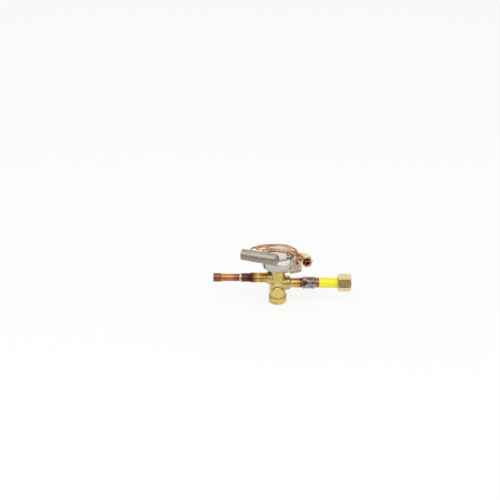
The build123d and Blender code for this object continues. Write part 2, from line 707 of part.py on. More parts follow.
with BuildPart() as inlet_braze:
    braze_foot = STUB_RADIUS + BRAZE_GAP
    with BuildSketch(Plane.XZ) as braze_section:
        with BuildLine():
            Line(
                (INLET_BELL_END, INLET_HEIGHT + braze_foot),
                (INLET_BELL_END, INLET_HEIGHT + bell_outer),
            )
            ThreePointArc(
                (INLET_BELL_END, INLET_HEIGHT + bell_outer),
                (
                    INLET_BELL_END + INLET_BRAZE_LENGTH / 2,
                    INLET_HEIGHT + braze_foot + INLET_BRAZE_HEIGHT,
                ),
                (INLET_BELL_END + INLET_BRAZE_LENGTH, INLET_HEIGHT + braze_foot),
            )
            Line(
                (INLET_BELL_END + INLET_BRAZE_LENGTH, INLET_HEIGHT + braze_foot),
                (INLET_BELL_END, INLET_HEIGHT + braze_foot),
            )
        make_face()
    revolve(braze_section.sketch, axis=Axis((0, 0, INLET_HEIGHT), (1, 0, 0)))
save(inlet_braze, "inlet_braze")

with BuildPart() as identification_label:
    lathe(
        [
            (LABEL_START, STUB_RADIUS + BRAZE_GAP),
            (LABEL_START, STUB_RADIUS + BRAZE_GAP + LABEL_WALL),
            (NUT_BACK - LABEL_GAP, STUB_RADIUS + BRAZE_GAP + LABEL_WALL),
            (NUT_BACK - LABEL_GAP, STUB_RADIUS + BRAZE_GAP),
        ],
        INLET,
    )
save(identification_label, "identification_label")

nut_front = NUT_BACK + NUT_LENGTH
with BuildPart() as inlet_nut:
    hexagon(INLET, NUT_ACROSS_FLATS, NUT_BACK, nut_front, NUT_TURN)
    crown(INLET, NUT_ACROSS_FLATS, NUT_BACK, nut_front)
    relief_start = NUT_BACK + NUT_COLLAR
    lathe(
        [
            (NUT_BACK, 0),
            (NUT_BACK, STUB_RADIUS + RUNNING),
            (relief_start, STUB_RADIUS + RUNNING),
            (relief_start, NUT_RELIEF_RADIUS),
            (relief_start + NUT_RELIEF_LENGTH, NUT_RELIEF_RADIUS),
            (relief_start + NUT_RELIEF_LENGTH, NUT_THREAD_RADIUS),
            (nut_front - NUT_MOUTH_CHAMFER, NUT_THREAD_RADIUS),
            (nut_front, NUT_THREAD_RADIUS + NUT_MOUTH_CHAMFER),
            (nut_front, 0),
        ],
        INLET,
        Mode.SUBTRACT,
    )
save(inlet_nut, "inlet_nut")

# The strainer is a perforated cup whose rim rests in the open end of the tail tube.
strainer_front = flange_front
strainer_back = strainer_front - STRAINER_LENGTH
with BuildPart() as inlet_strainer:
    lathe(
        [
            (strainer_back, 0),
            (strainer_back, STRAINER_RADIUS - STRAINER_WALL),
            (strainer_front - STRAINER_RIM, STRAINER_RADIUS - STRAINER_WALL),
            (strainer_front - STRAINER_RIM, STRAINER_RADIUS),
            (strainer_front, STRAINER_RADIUS),
            (strainer_front, STRAINER_RADIUS - 2 * STRAINER_WALL),
            (strainer_back + STRAINER_WALL, STRAINER_RADIUS - 2 * STRAINER_WALL),
            (strainer_back + STRAINER_WALL, 0),
        ],
        INLET,
    )
    hole_pitch = (STRAINER_LENGTH - STRAINER_RIM) / (STRAINER_HOLE_ROWS + 1)
    for row in range(STRAINER_HOLE_ROWS):
        station = strainer_back + (row + 1) * hole_pitch
        for hole in range(STRAINER_HOLE_COUNT // 2):
            turn = pi * (2 * hole + row % 2) / STRAINER_HOLE_COUNT
            across = along((station, 0, INLET_HEIGHT), (0, cos(turn), sin(turn)))
            cylinder(
                across, STRAINER_HOLE_RADIUS, -STRAINER_RADIUS, STRAINER_RADIUS, Mode.SUBTRACT
            )
save(inlet_strainer, "inlet_strainer")

# ---- Outlet line -----------------------------------------------------------------------------
reduced_bore = LINE_RADIUS + BRAZE_GAP
line_start = OUTLET_REDUCED_END - OUTLET_SOCKET_DEPTH
with BuildPart() as outlet_stub:
    lathe(
        [
            (SOCKET_BOTTOM, STUB_RADIUS - STUB_WALL),
            (SOCKET_BOTTOM, STUB_RADIUS),
            (OUTLET_STUB_END - OUTLET_SWAGE, STUB_RADIUS),
            (OUTLET_STUB_END, OUTLET_REDUCED_RADIUS),
            (OUTLET_REDUCED_END, OUTLET_REDUCED_RADIUS),
            (OUTLET_REDUCED_END, reduced_bore),
            (line_start, reduced_bore),
            (line_start, LINE_RADIUS - LINE_WALL),
            (OUTLET_STUB_END, LINE_RADIUS - LINE_WALL),
            (OUTLET_STUB_END - OUTLET_SWAGE, STUB_RADIUS - STUB_WALL),
        ],
        OUTLET,
    )
save(outlet_stub, "outlet_stub")

outlet_bell_bore = LINE_RADIUS + BRAZE_GAP
outlet_bell_outer = outlet_bell_bore + LINE_WALL
bell_start = OUTLET_LINE_END - BELL_DEPTH
with BuildPart() as outlet_tube:
    lathe(
        [
            (line_start, LINE_RADIUS - LINE_WALL),
            (line_start, LINE_RADIUS),
            (bell_start - BELL_TAPER, LINE_RADIUS),
            (bell_start, outlet_bell_outer),
            (OUTLET_LINE_END, outlet_bell_outer),
            (OUTLET_LINE_END, outlet_bell_bore),
            (bell_start, outlet_bell_bore),
            (bell_start - BELL_TAPER, LINE_RADIUS - LINE_WALL),
        ],
        OUTLET,
    )
save(outlet_tube, "outlet_tube")

with BuildPart() as outlet_braze:
    lathe(
        [
            (OUTLET_REDUCED_END, reduced_bore),
            (OUTLET_REDUCED_END, OUTLET_REDUCED_RADIUS),
            (OUTLET_REDUCED_END + OUTLET_BRAZE_LENGTH / 3, OUTLET_REDUCED_RADIUS - BRAZE_GAP),
            (OUTLET_REDUCED_END + OUTLET_BRAZE_LENGTH, reduced_bore),
        ],
        OUTLET,
    )
save(outlet_braze, "outlet_braze")

# ---- Braze fillets where the stubs meet the body ---------------------------------------------
with BuildPart() as inlet_body_braze:
    lathe(
        [
            (INLET_BOSS_REACH, STUB_RADIUS + BRAZE_GAP),
            (INLET_BOSS_REACH, STUB_RADIUS + BRAZE_GAP + BRAZE_FILLET),
            (INLET_BOSS_REACH + BRAZE_FILLET, STUB_RADIUS + BRAZE_GAP),
        ],
        INLET,
    )
save(inlet_body_braze, "inlet_body_braze")

with BuildPart() as outlet_body_braze:
    lathe(
        [
            (OUTLET_BOSS_REACH, STUB_RADIUS + BRAZE_GAP),
            (OUTLET_BOSS_REACH, STUB_RADIUS + BRAZE_GAP + BRAZE_FILLET),
            (OUTLET_BOSS_REACH + BRAZE_FILLET, STUB_RADIUS + BRAZE_GAP),
        ],
        OUTLET,
    )
save(outlet_body_braze, "outlet_body_braze")

# ---- Equalizer fitting -----------------------------------------------------------------------
tube_way = Vector(-sin(eq_angle), cos(eq_angle), 0)
fitting_way = Vector(cos(eq_angle), sin(eq_angle), 0)
tube_station = Vector(0, 0, EQ_FITTING_HEIGHT) + fitting_way * EQ_TUBE_STATION
TUBE_SIDE = along(tuple(tube_station), tuple(tube_way), (0, 0, 1))
tube_socket = EQ_TUBE_RADIUS + BRAZE_GAP
with BuildPart() as equalizer_fitting:
    cylinder(EQ_FITTING, EQ_NECK_RADIUS, 0, EQ_HEX_START)
    hexagon(EQ_FITTING, EQ_HEX_ACROSS, EQ_HEX_START, EQ_FITTING_REACH, FLATS_UP)
    end_edges = equalizer_fitting.faces().sort_by(Axis((0, 0, 0), tuple(fitting_way)))[-1].edges()
    chamfer(end_edges, length=EQ_HEX_CHAMFER)
    cylinder(TUBE_SIDE, EQ_NECK_RADIUS, 0, EQ_SIDE_BOSS)
    cylinder(UP, NECK_RADIUS + BRAZE_GAP, 0, HEAD_SHOULDER, Mode.SUBTRACT)
    cylinder(EQ_FITTING, EQ_BORE_RADIUS, 0, EQ_TUBE_STATION, Mode.SUBTRACT)
    cylinder(TUBE_SIDE, EQ_BORE_RADIUS, 0, EQ_TUBE_SOCKET, Mode.SUBTRACT)
    cylinder(TUBE_SIDE, tube_socket, EQ_TUBE_SOCKET, EQ_SIDE_BOSS, Mode.SUBTRACT)
save(equalizer_fitting, "equalizer_fitting")

# ---- Equalizer tube, bent back on itself and flared at its end -------------------------------
end_angle = radians(EQ_END_TURN)
END_WAY = Vector(sin(end_angle), -cos(end_angle), 0)
flare_face = Vector(*EQ_END)
flare_depth = EQ_FLARE_RADIUS - EQ_TUBE_RADIUS
tube_stop = flare_face - END_WAY * flare_depth
tube_points = [
    tube_station + tube_way * EQ_TUBE_SOCKET,
    tube_station + tube_way * EQ_TUBE_BACK_RUN,
    Vector(*EQ_TUBE_CREST, EQ_FITTING_HEIGHT + EQ_TUBE_RISE),
    flare_face - END_WAY * EQ_TUBE_LAST_RUN,
    tube_stop,
]
with BuildPart() as equalizer_tube:
    with BuildLine() as eq_path:
        FilletPolyline(*tube_points, radius=EQ_TUBE_BEND)
    with BuildSketch(Plane(origin=eq_path.line @ 0, z_dir=eq_path.line % 0)) as eq_section:
        Circle(EQ_TUBE_RADIUS)
        Circle(EQ_TUBE_RADIUS - EQ_TUBE_WALL, mode=Mode.SUBTRACT)
    sweep(eq_section.sketch, path=eq_path.line)
    FLARE = along(tuple(tube_stop), tuple(END_WAY), (0, 0, 1))
    flare_bore = EQ_TUBE_RADIUS - EQ_TUBE_WALL
    lathe(
        [
            (0, flare_bore),
            (0, EQ_TUBE_RADIUS),
            (flare_depth, EQ_FLARE_RADIUS),
            (flare_depth, EQ_FLARE_RADIUS - EQ_TUBE_WALL),
        ],
        FLARE,
    )
save(equalizer_tube, "equalizer_tube")

# ---- Equalizer nut, slid back from the flare -------------------------------------------------
NUT_MOUTH = along(tuple(flare_face - END_WAY * EQ_NUT_BACKSET), tuple(-END_WAY), (0, 0, 1))
shoulder_start = EQ_NUT_LENGTH - EQ_NUT_SHOULDER_LENGTH
with BuildPart() as equalizer_nut:
    hexagon(NUT_MOUTH, EQ_NUT_ACROSS, 0, shoulder_start, FLATS_UP)
    crown(NUT_MOUTH, EQ_NUT_ACROSS, 0, shoulder_start)
    lathe(
        [
            (shoulder_start, 0),
            (shoulder_start, EQ_NUT_ACROSS / 2 - LOOSE),
            (EQ_NUT_LENGTH, EQ_NUT_SHOULDER_RADIUS),
            (EQ_NUT_LENGTH, 0),
        ],
        NUT_MOUTH,
    )
    lathe(
        [
            (0, 0),
            (0, EQ_NUT_THREAD_RADIUS + NUT_MOUTH_CHAMFER),
            (NUT_MOUTH_CHAMFER, EQ_NUT_THREAD_RADIUS),
            (EQ_NUT_THREAD_DEPTH, EQ_NUT_THREAD_RADIUS),
            (EQ_NUT_THREAD_DEPTH + EQ_NUT_THREAD_RADIUS - EQ_TUBE_RADIUS, EQ_TUBE_RADIUS + RUNNING),
            (EQ_NUT_LENGTH, EQ_TUBE_RADIUS + RUNNING),
            (EQ_NUT_LENGTH, 0),
        ],
        NUT_MOUTH,
        Mode.SUBTRACT,
    )
save(equalizer_nut, "equalizer_nut")

# ---- Sensing bulb ----------------------------------------------------------------------------
nose = Vector(*BULB_NOSE)
bulb_run = Vector(*BULB_TAIL) - nose
bulb_length = bulb_run.length
bulb_way = bulb_run.normalized()
BULB = along(tuple(nose), tuple(bulb_way), (0, 0, 1))
entry_way = bulb_way.cross(Vector(0, 0, 1)).normalized()
if entry_way.Y < 0:
    entry_way = -entry_way
entry_foot = nose + bulb_way * BULB_ENTRY
ENTRY = along(tuple(entry_foot), tuple(entry_way), (0, 0, 1))
collar_reach = BULB_RADIUS + CAPILLARY_COLLAR_HEIGHT
with BuildPart() as sensing_bulb:
    with BuildSketch(Plane(origin=nose, x_dir=bulb_way, z_dir=Vector(0, 0, 1))) as bulb_section:
        with BuildLine():
            Line((0, 0), (0, BULB_RADIUS - BULB_NOSE_ROUND))
            RadiusArc(
                (0, BULB_RADIUS - BULB_NOSE_ROUND),
                (BULB_NOSE_ROUND, BULB_RADIUS),
                BULB_NOSE_ROUND,
            )
            Polyline(
                (BULB_NOSE_ROUND, BULB_RADIUS),
                (BULB_STRAP_END, BULB_RADIUS),
                (BULB_STRAP_END + BULB_RADIUS - BULB_TAIL_RADIUS, BULB_TAIL_RADIUS),
                (bulb_length - BULB_TAIL_ROUND, BULB_TAIL_RADIUS),
            )
            RadiusArc(
                (bulb_length - BULB_TAIL_ROUND, BULB_TAIL_RADIUS),
                (bulb_length, BULB_TAIL_RADIUS - BULB_TAIL_ROUND),
                BULB_TAIL_ROUND,
            )
            rim_inner = BULB_TAIL_RADIUS - BULB_TAIL_ROUND - BULB_RIM
            Polyline(
                (bulb_length, BULB_TAIL_RADIUS - BULB_TAIL_ROUND),
                (bulb_length, rim_inner),
                (bulb_length - BULB_TAIL_RECESS, rim_inner - BULB_TAIL_RECESS / 2),
                (bulb_length - BULB_TAIL_RECESS, 0),
                (0, 0),
            )
        make_face()
    revolve(bulb_section.sketch, axis=Axis(BULB_NOSE, tuple(bulb_way)))
    cylinder(ENTRY, CAPILLARY_COLLAR_RADIUS, 0, collar_reach)
    cylinder(ENTRY, tube_hole, collar_reach - CAPILLARY_SOCKET, collar_reach, Mode.SUBTRACT)
save(sensing_bulb, "sensing_bulb")

# ---- Capillary: two turns from the top of the head round the equalizer nut to the bulb -------
root_low = collar_top - CAPILLARY_SOCKET
entry_clear = entry_foot + entry_way * (collar_reach + CAPILLARY_LEAD)
entry_end = entry_foot + entry_way * (collar_reach - CAPILLARY_SOCKET)
capillary_points = [
    (CAPILLARY_ROOT[0], CAPILLARY_ROOT[1], root_low),
    (CAPILLARY_ROOT[0], CAPILLARY_ROOT[1], 77.0),
    (19.0, -10.2, 77.0),
    (24.8, -11.2, 70.8),
    (25.4, -8.0, 64.2),
    (23.8, 0.0, 58.2),
    (23.2, 10.2, 57.0),
    (20.6, 19.6, 59.8),
    (14.4, 23.8, 63.2),
    (-2.0, 24.2, 66.8),
    (-19.0, 21.0, 68.6),
    (-28.0, 14.2, 70.8),
    (-27.0, 6.2, 73.2),
    (-17.0, 3.6, 74.0),
    (-5.0, 6.2, 74.0),
    (8.0, 3.6, 74.2),
    (19.4, -1.0, 74.8),
    (24.2, 0.4, 70.0),
    (25.0, 5.6, 64.0),
    (25.4, 13.6, 64.6),
    (22.0, 22.2, 64.4),
    (13.0, 27.4, 66.8),
    (-2.0, 27.4, 67.6),
    (-20.0, 24.4, 68.6),
    (-32.6, 15.4, 69.6),
    (-35.0, 4.6, 73.4),
    tuple(entry_clear),
    tuple(entry_end),
]


def bend_radii(points):
    """The largest arc that two neighbouring runs leave room for, at each inner point."""
    radii = []
    for before, here, after in zip(points, points[1:], points[2:]):
        first = Vector(*here) - Vector(*before)
        second = Vector(*after) - Vector(*here)
        half_turn = radians(first.get_angle(second)) / 2
        radii.append(0.45 * min(first.length, second.length) / tan(half_turn))
    return radii


capillary_bends = bend_radii(capillary_points)
print("capillary bends", [round(radius, 1) for radius in capillary_bends])
with BuildPart() as capillary_tube:
    with BuildLine() as capillary_path:
        FilletPolyline(*capillary_points, radius=capillary_bends)
    start_plane = Plane(origin=capillary_path.line @ 0, z_dir=capillary_path.line % 0)
    with BuildSketch(start_plane) as capillary_section:
        Circle(CAPILLARY_RADIUS)
    sweep(capillary_section.sketch, path=capillary_path.line)
print("capillary length", round(sum(edge.length for edge in capillary_path.edges()), 1))
save(capillary_tube, "capillary_tube")
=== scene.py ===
"""Looks of a thermostatic expansion valve: metal finishes, threads, braze and the studio."""

import logging
from dataclasses import dataclass, replace
from enum import Enum
from math import cos, pi, radians, sin, tan
from typing import Mapping, Sequence

import bpy
import numpy as np
from mathutils import Matrix, Vector


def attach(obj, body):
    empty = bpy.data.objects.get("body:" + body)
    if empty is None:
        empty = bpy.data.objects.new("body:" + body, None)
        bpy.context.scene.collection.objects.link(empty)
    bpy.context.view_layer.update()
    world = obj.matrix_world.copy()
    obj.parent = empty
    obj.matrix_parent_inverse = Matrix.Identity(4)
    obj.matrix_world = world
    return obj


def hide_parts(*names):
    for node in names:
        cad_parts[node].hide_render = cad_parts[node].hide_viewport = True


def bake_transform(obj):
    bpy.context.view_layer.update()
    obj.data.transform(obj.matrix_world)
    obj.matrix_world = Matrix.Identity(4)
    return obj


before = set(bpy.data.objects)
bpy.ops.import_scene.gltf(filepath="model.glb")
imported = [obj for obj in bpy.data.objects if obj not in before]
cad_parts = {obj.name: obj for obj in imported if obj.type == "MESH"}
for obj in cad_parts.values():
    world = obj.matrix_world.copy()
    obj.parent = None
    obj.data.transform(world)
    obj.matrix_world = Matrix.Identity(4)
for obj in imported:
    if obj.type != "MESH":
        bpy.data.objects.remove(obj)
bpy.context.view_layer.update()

MM = 0.001
SHARP = radians(32)  # faces that meet at more than this keep a hard edge
METAL_STOPS = (0.34, 0.64)  # of a noise, where a metal's dark colour ends and its light one starts
PLASTIC_STOPS = (0.3, 0.6)
SKIN_SUM = (1.1, 1.9)  # what the grain, marks and patches add up to, at their low and high ends
SPECK_EDGE = 0.08  # of a noise, over which a speck fades in
BRUSH_STRETCH = 0.02  # how much slower a brushed line changes along its length than across
HEAT_NOISE_MM = 4.5  # size of the wander in a heat band's edge
PATCH_SHADING = 0.35  # how far a metal's own patches shade its heat colours
REPORT = logging.getLogger("valve")

Socket = bpy.types.NodeSocket
Tree = bpy.types.NodeTree
Colour = tuple[float, float, float, float]
Point = tuple[float, float, float]


def linear(hex_value: str) -> Colour:
    """Turns an sRGB hex colour into linear light.

    Args:
        hex_value: Six hex digits.

    Returns:
        Linear red, green, blue and an alpha of 1.
    """
    channels = np.array([int(hex_value[i : i + 2], 16) for i in (0, 2, 4)]) / 255
    light = np.where(channels <= 0.04045, channels / 12.92, ((channels + 0.055) / 1.055) ** 2.4)
    return (*light.tolist(), 1.0)


def add(
    tree: Tree,
    kind: str,
    links: Mapping[str | int, object] | None = None,
    stops: Sequence[tuple[float, str]] = (),
    **settings: object,
) -> bpy.types.Node:
    """Adds one node with its settings, its values and its links.

    Args:
        tree: Node tree that gets the node.
        kind: Node type without its ShaderNode prefix.
        links: Input name or number, with either a value or the socket it reads.
        stops: Place and hex colour of each stop of a colour ramp.
        settings: The node's own properties.

    Returns:
        The new node.
    """
    made = tree.nodes.new("ShaderNode" + kind)
    for name, value in settings.items():
        setattr(made, name, value)
    for socket, value in (links or {}).items():
        if isinstance(value, Socket):
            tree.links.new(value, made.inputs[socket])
        else:
            made.inputs[socket].default_value = value
    for number, (place, colour) in enumerate(stops):
        row = made.color_ramp.elements
        stop = row[number] if number < 2 else row.new(place)
        stop.position, stop.color = place, linear(colour)
    return made


def empty_tree(owner: bpy.types.Material | bpy.types.World) -> Tree:
    """Gives a material or a world a node tree with nothing in it yet."""
    owner.use_nodes = True
    owner.node_tree.nodes.clear()
    return owner.node_tree


def shown(name: str, data: bpy.types.ID) -> bpy.types.Object:
    """Makes an object of a mesh, lamp or camera, at the origin, and links it to the scene."""
    made = bpy.data.objects.new(name, data)
    bpy.context.scene.collection.objects.link(made)
    return made


# ---- Meshes from arrays ----------------------------------------------------------------------


def axes_of(axis: Point, across: Point) -> tuple[np.ndarray, np.ndarray, np.ndarray]:
    """Right-handed unit axes: across, then axis x across, then axis."""
    w = np.array(axis, float) / np.linalg.norm(axis)
    u = np.array(across, float) - w * np.dot(across, w)
    u /= np.linalg.norm(u)
    return u, np.cross(w, u), w


def round_grid(
    station: np.ndarray,
    radius: np.ndarray,
    angle: np.ndarray,
    origin: Point,
    axis: Point,
    across: Point,
) -> np.ndarray:
    """Points at origin + axis * station + radius * (across * cos(angle) + side * sin(angle)).

    Args:
        station: Distance along the axis, in mm, for each row and column.
        radius: Distance from the axis, in mm, for each row and column.
        angle: Angle round the axis for each column, in radians.
        origin: Where station is 0, in mm.
        axis: Direction of the axis.
        across: Direction where the angle is 0.

    Returns:
        Array of rows x columns x 3, in metres.
    """
    u, v, w = axes_of(axis, across)
    station, radius = np.broadcast_arrays(station, radius)
    ring = np.cos(angle)[:, None] * u + np.sin(angle)[:, None] * v
    return (np.array(origin) + station[..., None] * w + radius[..., None] * ring[None]) * MM


def closed_grid(name: str, points: np.ndarray) -> bpy.types.Object:
    """Makes a mesh of a grid whose rows and columns both close on themselves.

    Face (i, j) joins points (i, j), (i + 1, j), (i + 1, j + 1) and (i, j + 1). The volume is the
    sum of each face's corner products, and where it is negative all faces turn over.

    Args:
        name: Name of the object.
        points: Array of rows x columns x 3, in metres.

    Returns:
        The object, at the origin, linked to the scene.
    """
    rows, columns = points.shape[:2]
    index = np.arange(rows * columns).reshape(rows, columns)
    below, right = np.roll(index, -1, 0), np.roll(index, -1, 1)
    faces = np.stack([index, below, np.roll(below, -1, 1), right], -1).reshape(-1, 4)
    flat = points.reshape(-1, 3)
    a, b, c, d = (flat[faces[:, k]] for k in range(4))
    volume = np.einsum("ij,ij->", a, np.cross(b, c)) + np.einsum("ij,ij->", a, np.cross(c, d))
    if volume < 0:
        faces = faces[:, ::-1]
    mesh = bpy.data.meshes.new(name)
    mesh.from_pydata(flat.tolist(), [], faces.tolist())
    mesh.polygons.foreach_set("use_smooth", np.ones(len(faces), bool))
    mesh.set_sharp_from_angle(angle=SHARP)
    mesh.update()
    return shown(name, mesh)


def waves(first: np.ndarray, second: np.ndarray, count: int, seed: int) -> np.ndarray:
    """A soft uneven field between about -1 and 1, closed over a full turn of the second value.

    It adds count waves, each sin(k * first + n * second + phase) with a whole number n, and
    divides them by the root of half their number.

    Args:
        first: Position along the piece, in mm.
        second: Angle round the piece, in radians.
        count: Number of waves.
        seed: Seed of the draw of k, n and phase.

    Returns:
        The field, with the arrays' common shape.
    """
    draw = np.random.default_rng(seed)
    total = 0.0
    for k, n, phase in zip(
        draw.uniform(-1.4, 1.4, count), draw.integers(-5, 6, count), draw.uniform(0, 2 * pi, count)
    ):
        total = total + np.sin(k * first + n * second + phase)
    return total / (count / 2) ** 0.5 / 2


# ---- Finishes --------------------------------------------------------------------------------


class Lay(Enum):
    """Which way the marks of a piece's making run."""

    NONE = "none"
    ROUND = "round"  # a lathe tool's rings
    ALONG = "along"  # drawn or brushed lengthwise


@dataclass(frozen=True)
class Metal:
    """A metal with patches, a grained skin and the marks of its making.

    The light and dark colours mix by a broad noise. The skin is a fine noise, and tool marks are
    a noise that only changes across their lay. Both drive roughness and a shallow bump.
    """

    name: str
    light: str
    dark: str
    rough: tuple[float, float]
    patch_mm: float = 6.0
    grain_mm: float = 0.35
    grain_height_mm: float = 0.01
    lay: Lay = Lay.NONE
    mark_mm: float = 0.3
    mark_height_mm: float = 0.006
    origin: Point = (0, 0, 0)
    axis: Point = (0, 0, 1)
    tint: tuple[tuple[float, str], ...] = ()
    tint_along: str = "X"
    tint_wander_mm: float = 7.0
    speck: str = ""
    speck_share: float = 0.55
    speck_mm: float = 1.6

    def make(self) -> bpy.types.Material:
        """Builds the material.

        Returns:
            The material.
        """
        made = bpy.data.materials.new(self.name)
        tree = empty_tree(made)
        place = add(tree, "TexCoord").outputs["Object"]
        turn = Vector(self.axis).to_track_quat("Z", "Y").inverted().to_euler()
        shift = Vector(self.origin) * MM
        shift.rotate(turn)
        lined = add(
            tree, "Mapping", {"Vector": place, "Rotation": turn, "Location": -shift}
        ).outputs["Vector"]
        patches = self.noise(tree, place, self.patch_mm, 3.0, 0.55)
        shades = zip(METAL_STOPS, (self.dark, self.light))
        colour = add(tree, "ValToRGB", {"Fac": patches}, list(shades)).outputs["Color"]
        if self.tint:
            colour = self.tinted(tree, place, colour)
        if self.speck:
            spots = self.noise(tree, place, self.speck_mm, 5.0, 0.65)
            low, high = self.speck_share, self.speck_share + SPECK_EDGE
            share = add(
                tree, "MapRange", {"Value": spots, "From Min": low, "From Max": high}
            ).outputs["Result"]
            colour = add(
                tree, "Mix", {0: share, 6: colour, 7: linear(self.speck)}, data_type="RGBA"
            ).outputs[2]
        grain = self.noise(tree, place, self.grain_mm, 2.0, 0.5)
        marks = self.marks(tree, lined) if self.lay is not Lay.NONE else grain
        both = add(tree, "Math", {0: grain, 1: marks}, operation="ADD").outputs[0]
        mixed = add(tree, "Math", {0: both, 1: patches}, operation="ADD").outputs[0]
        rough = add(
            tree, "MapRange",
            {"Value": mixed, "From Min": SKIN_SUM[0], "From Max": SKIN_SUM[1],
             "To Min": self.rough[0], "To Max": self.rough[1]},
        ).outputs["Result"]
        skin = add(
            tree, "Bump", {"Height": grain, "Distance": self.grain_height_mm * MM, "Strength": 1.0}
        ).outputs["Normal"]
        if self.lay is not Lay.NONE:
            skin = add(
                tree, "Bump",
                {"Height": marks, "Distance": self.mark_height_mm * MM, "Strength": 1.0,
                 "Normal": skin},
            ).outputs["Normal"]
        shader = add(
            tree, "BsdfPrincipled",
            {"Base Color": colour, "Metallic": 1.0, "Roughness": rough, "Normal": skin},
        )
        add(tree, "OutputMaterial", {"Surface": shader.outputs["BSDF"]})
        return made

    @staticmethod
    def noise(tree: Tree, place: Socket, size_mm: float, detail: float, rough: float) -> Socket:
        """A noise whose features are about size_mm across."""
        return add(
            tree, "TexNoise",
            {"Vector": place, "Scale": 1 / (size_mm * MM), "Detail": detail, "Roughness": rough},
        ).outputs["Fac"]

    def marks(self, tree: Tree, lined: Socket) -> Socket:
        """Tool marks: rings change with distance along plus from the axis, brushed lines across it.

        Args:
            tree: Node tree of the material.
            lined: Coordinates with Z along the piece's axis.

        Returns:
            A value from 0 to 1.
        """
        if self.lay is Lay.ALONG:
            close = add(
                tree, "Mapping", {"Vector": lined, "Scale": (1.0, 1.0, BRUSH_STRETCH)}
            ).outputs["Vector"]
            return self.noise(tree, close, self.mark_mm, 3.0, 0.6)
        parts = add(tree, "SeparateXYZ", {"Vector": lined}).outputs
        flat = add(tree, "CombineXYZ", {"X": parts["X"], "Y": parts["Y"]}).outputs["Vector"]
        out = add(tree, "VectorMath", {0: flat}, operation="LENGTH").outputs["Value"]
        run = add(tree, "Math", {0: parts["Z"], 1: out}, operation="ADD").outputs[0]
        return add(
            tree, "TexNoise",
            {"W": run, "Scale": 1 / (self.mark_mm * MM), "Detail": 3.0, "Roughness": 0.6},
            noise_dimensions="1D",
        ).outputs["Fac"]

    def tinted(self, tree: Tree, place: Socket, colour: Socket) -> Socket:
        """Lays heat colours, oxide or painted shade over the metal, in uneven bands along X, Y or
        Z.

        The bands take the place of the metal's colour, and its own patches shade them softly.

        Args:
            tree: Node tree of the material.
            place: Object coordinates.
            colour: The metal's own colour.

        Returns:
            The tinted colour.
        """
        first, last = self.tint[0][0], self.tint[-1][0]
        stops = [((x - first) / (last - first), shade) for x, shade in self.tint]
        along = add(tree, "SeparateXYZ", {"Vector": place}).outputs[self.tint_along]
        uneven = self.noise(tree, place, HEAT_NOISE_MM, 3.0, 0.6)
        wander, middle = self.tint_wander_mm * MM, self.tint_wander_mm / 2
        moved = add(
            tree, "Math", {0: uneven, 1: wander, 2: along}, operation="MULTIPLY_ADD"
        ).outputs[0]
        share = add(
            tree, "MapRange",
            {"Value": moved, "From Min": (first + middle) * MM, "From Max": (last + middle) * MM},
        ).outputs["Result"]
        bands = add(tree, "ValToRGB", {"Fac": share}, stops).outputs["Color"]
        return add(
            tree, "Mix", {0: PATCH_SHADING, 6: bands, 7: colour}, data_type="RGBA",
            blend_type="SOFT_LIGHT",
        ).outputs[2]


@dataclass(frozen=True)
class Polymer:
    """A plastic, rubber or fibre surface with a fine uneven skin."""

    name: str
    light: str
    dark: str
    rough: float
    grain_mm: float
    height_mm: float
    coat: float = 0.0

    def make(self) -> bpy.types.Material:
        """Builds the material.

        Returns:
            The material.
        """
        made = bpy.data.materials.new(self.name)
        tree = empty_tree(made)
        place = add(tree, "TexCoord").outputs["Object"]
        skin = Metal.noise(tree, place, self.grain_mm, 3.0, 0.55)
        shades = zip(PLASTIC_STOPS, (self.dark, self.light))
        colour = add(tree, "ValToRGB", {"Fac": skin}, list(shades)).outputs["Color"]
        bump = add(
            tree, "Bump", {"Height": skin, "Distance": self.height_mm * MM}
        ).outputs["Normal"]
        shader = add(
            tree, "BsdfPrincipled",
            {"Base Color": colour, "Roughness": self.rough, "Normal": bump,
             "Coat Weight": self.coat, "Coat Roughness": 0.12, "IOR": 1.5},
        )
        add(tree, "OutputMaterial", {"Surface": shader.outputs["BSDF"]})
        return made


def dress(node: str, finish: Metal | Polymer) -> None:
    """Gives a CAD node its finish, in every material slot it has."""
    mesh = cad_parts[node].data
    mesh.materials.clear()
    mesh.materials.append(finish.make())
    REPORT.info("dressed %s with %s", node, finish.name)


def fit(
    piece: bpy.types.Object,
    body: str,
    finish: Metal | Polymer,
    nodes: Sequence[str] = (),
) -> None:
    """Finishes a new piece and puts it on its body.

    Args:
        piece: The new piece.
        body: CAD body that carries it.
        finish: Its finish.
        nodes: CAD nodes that it stands for.
    """
    piece.data.materials.append(finish.make())
    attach(piece, body)
    if nodes:
        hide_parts(*nodes)
    REPORT.info("built %s on %s", piece.name, body)


# ---- Shapes ----------------------------------------------------------------------------------


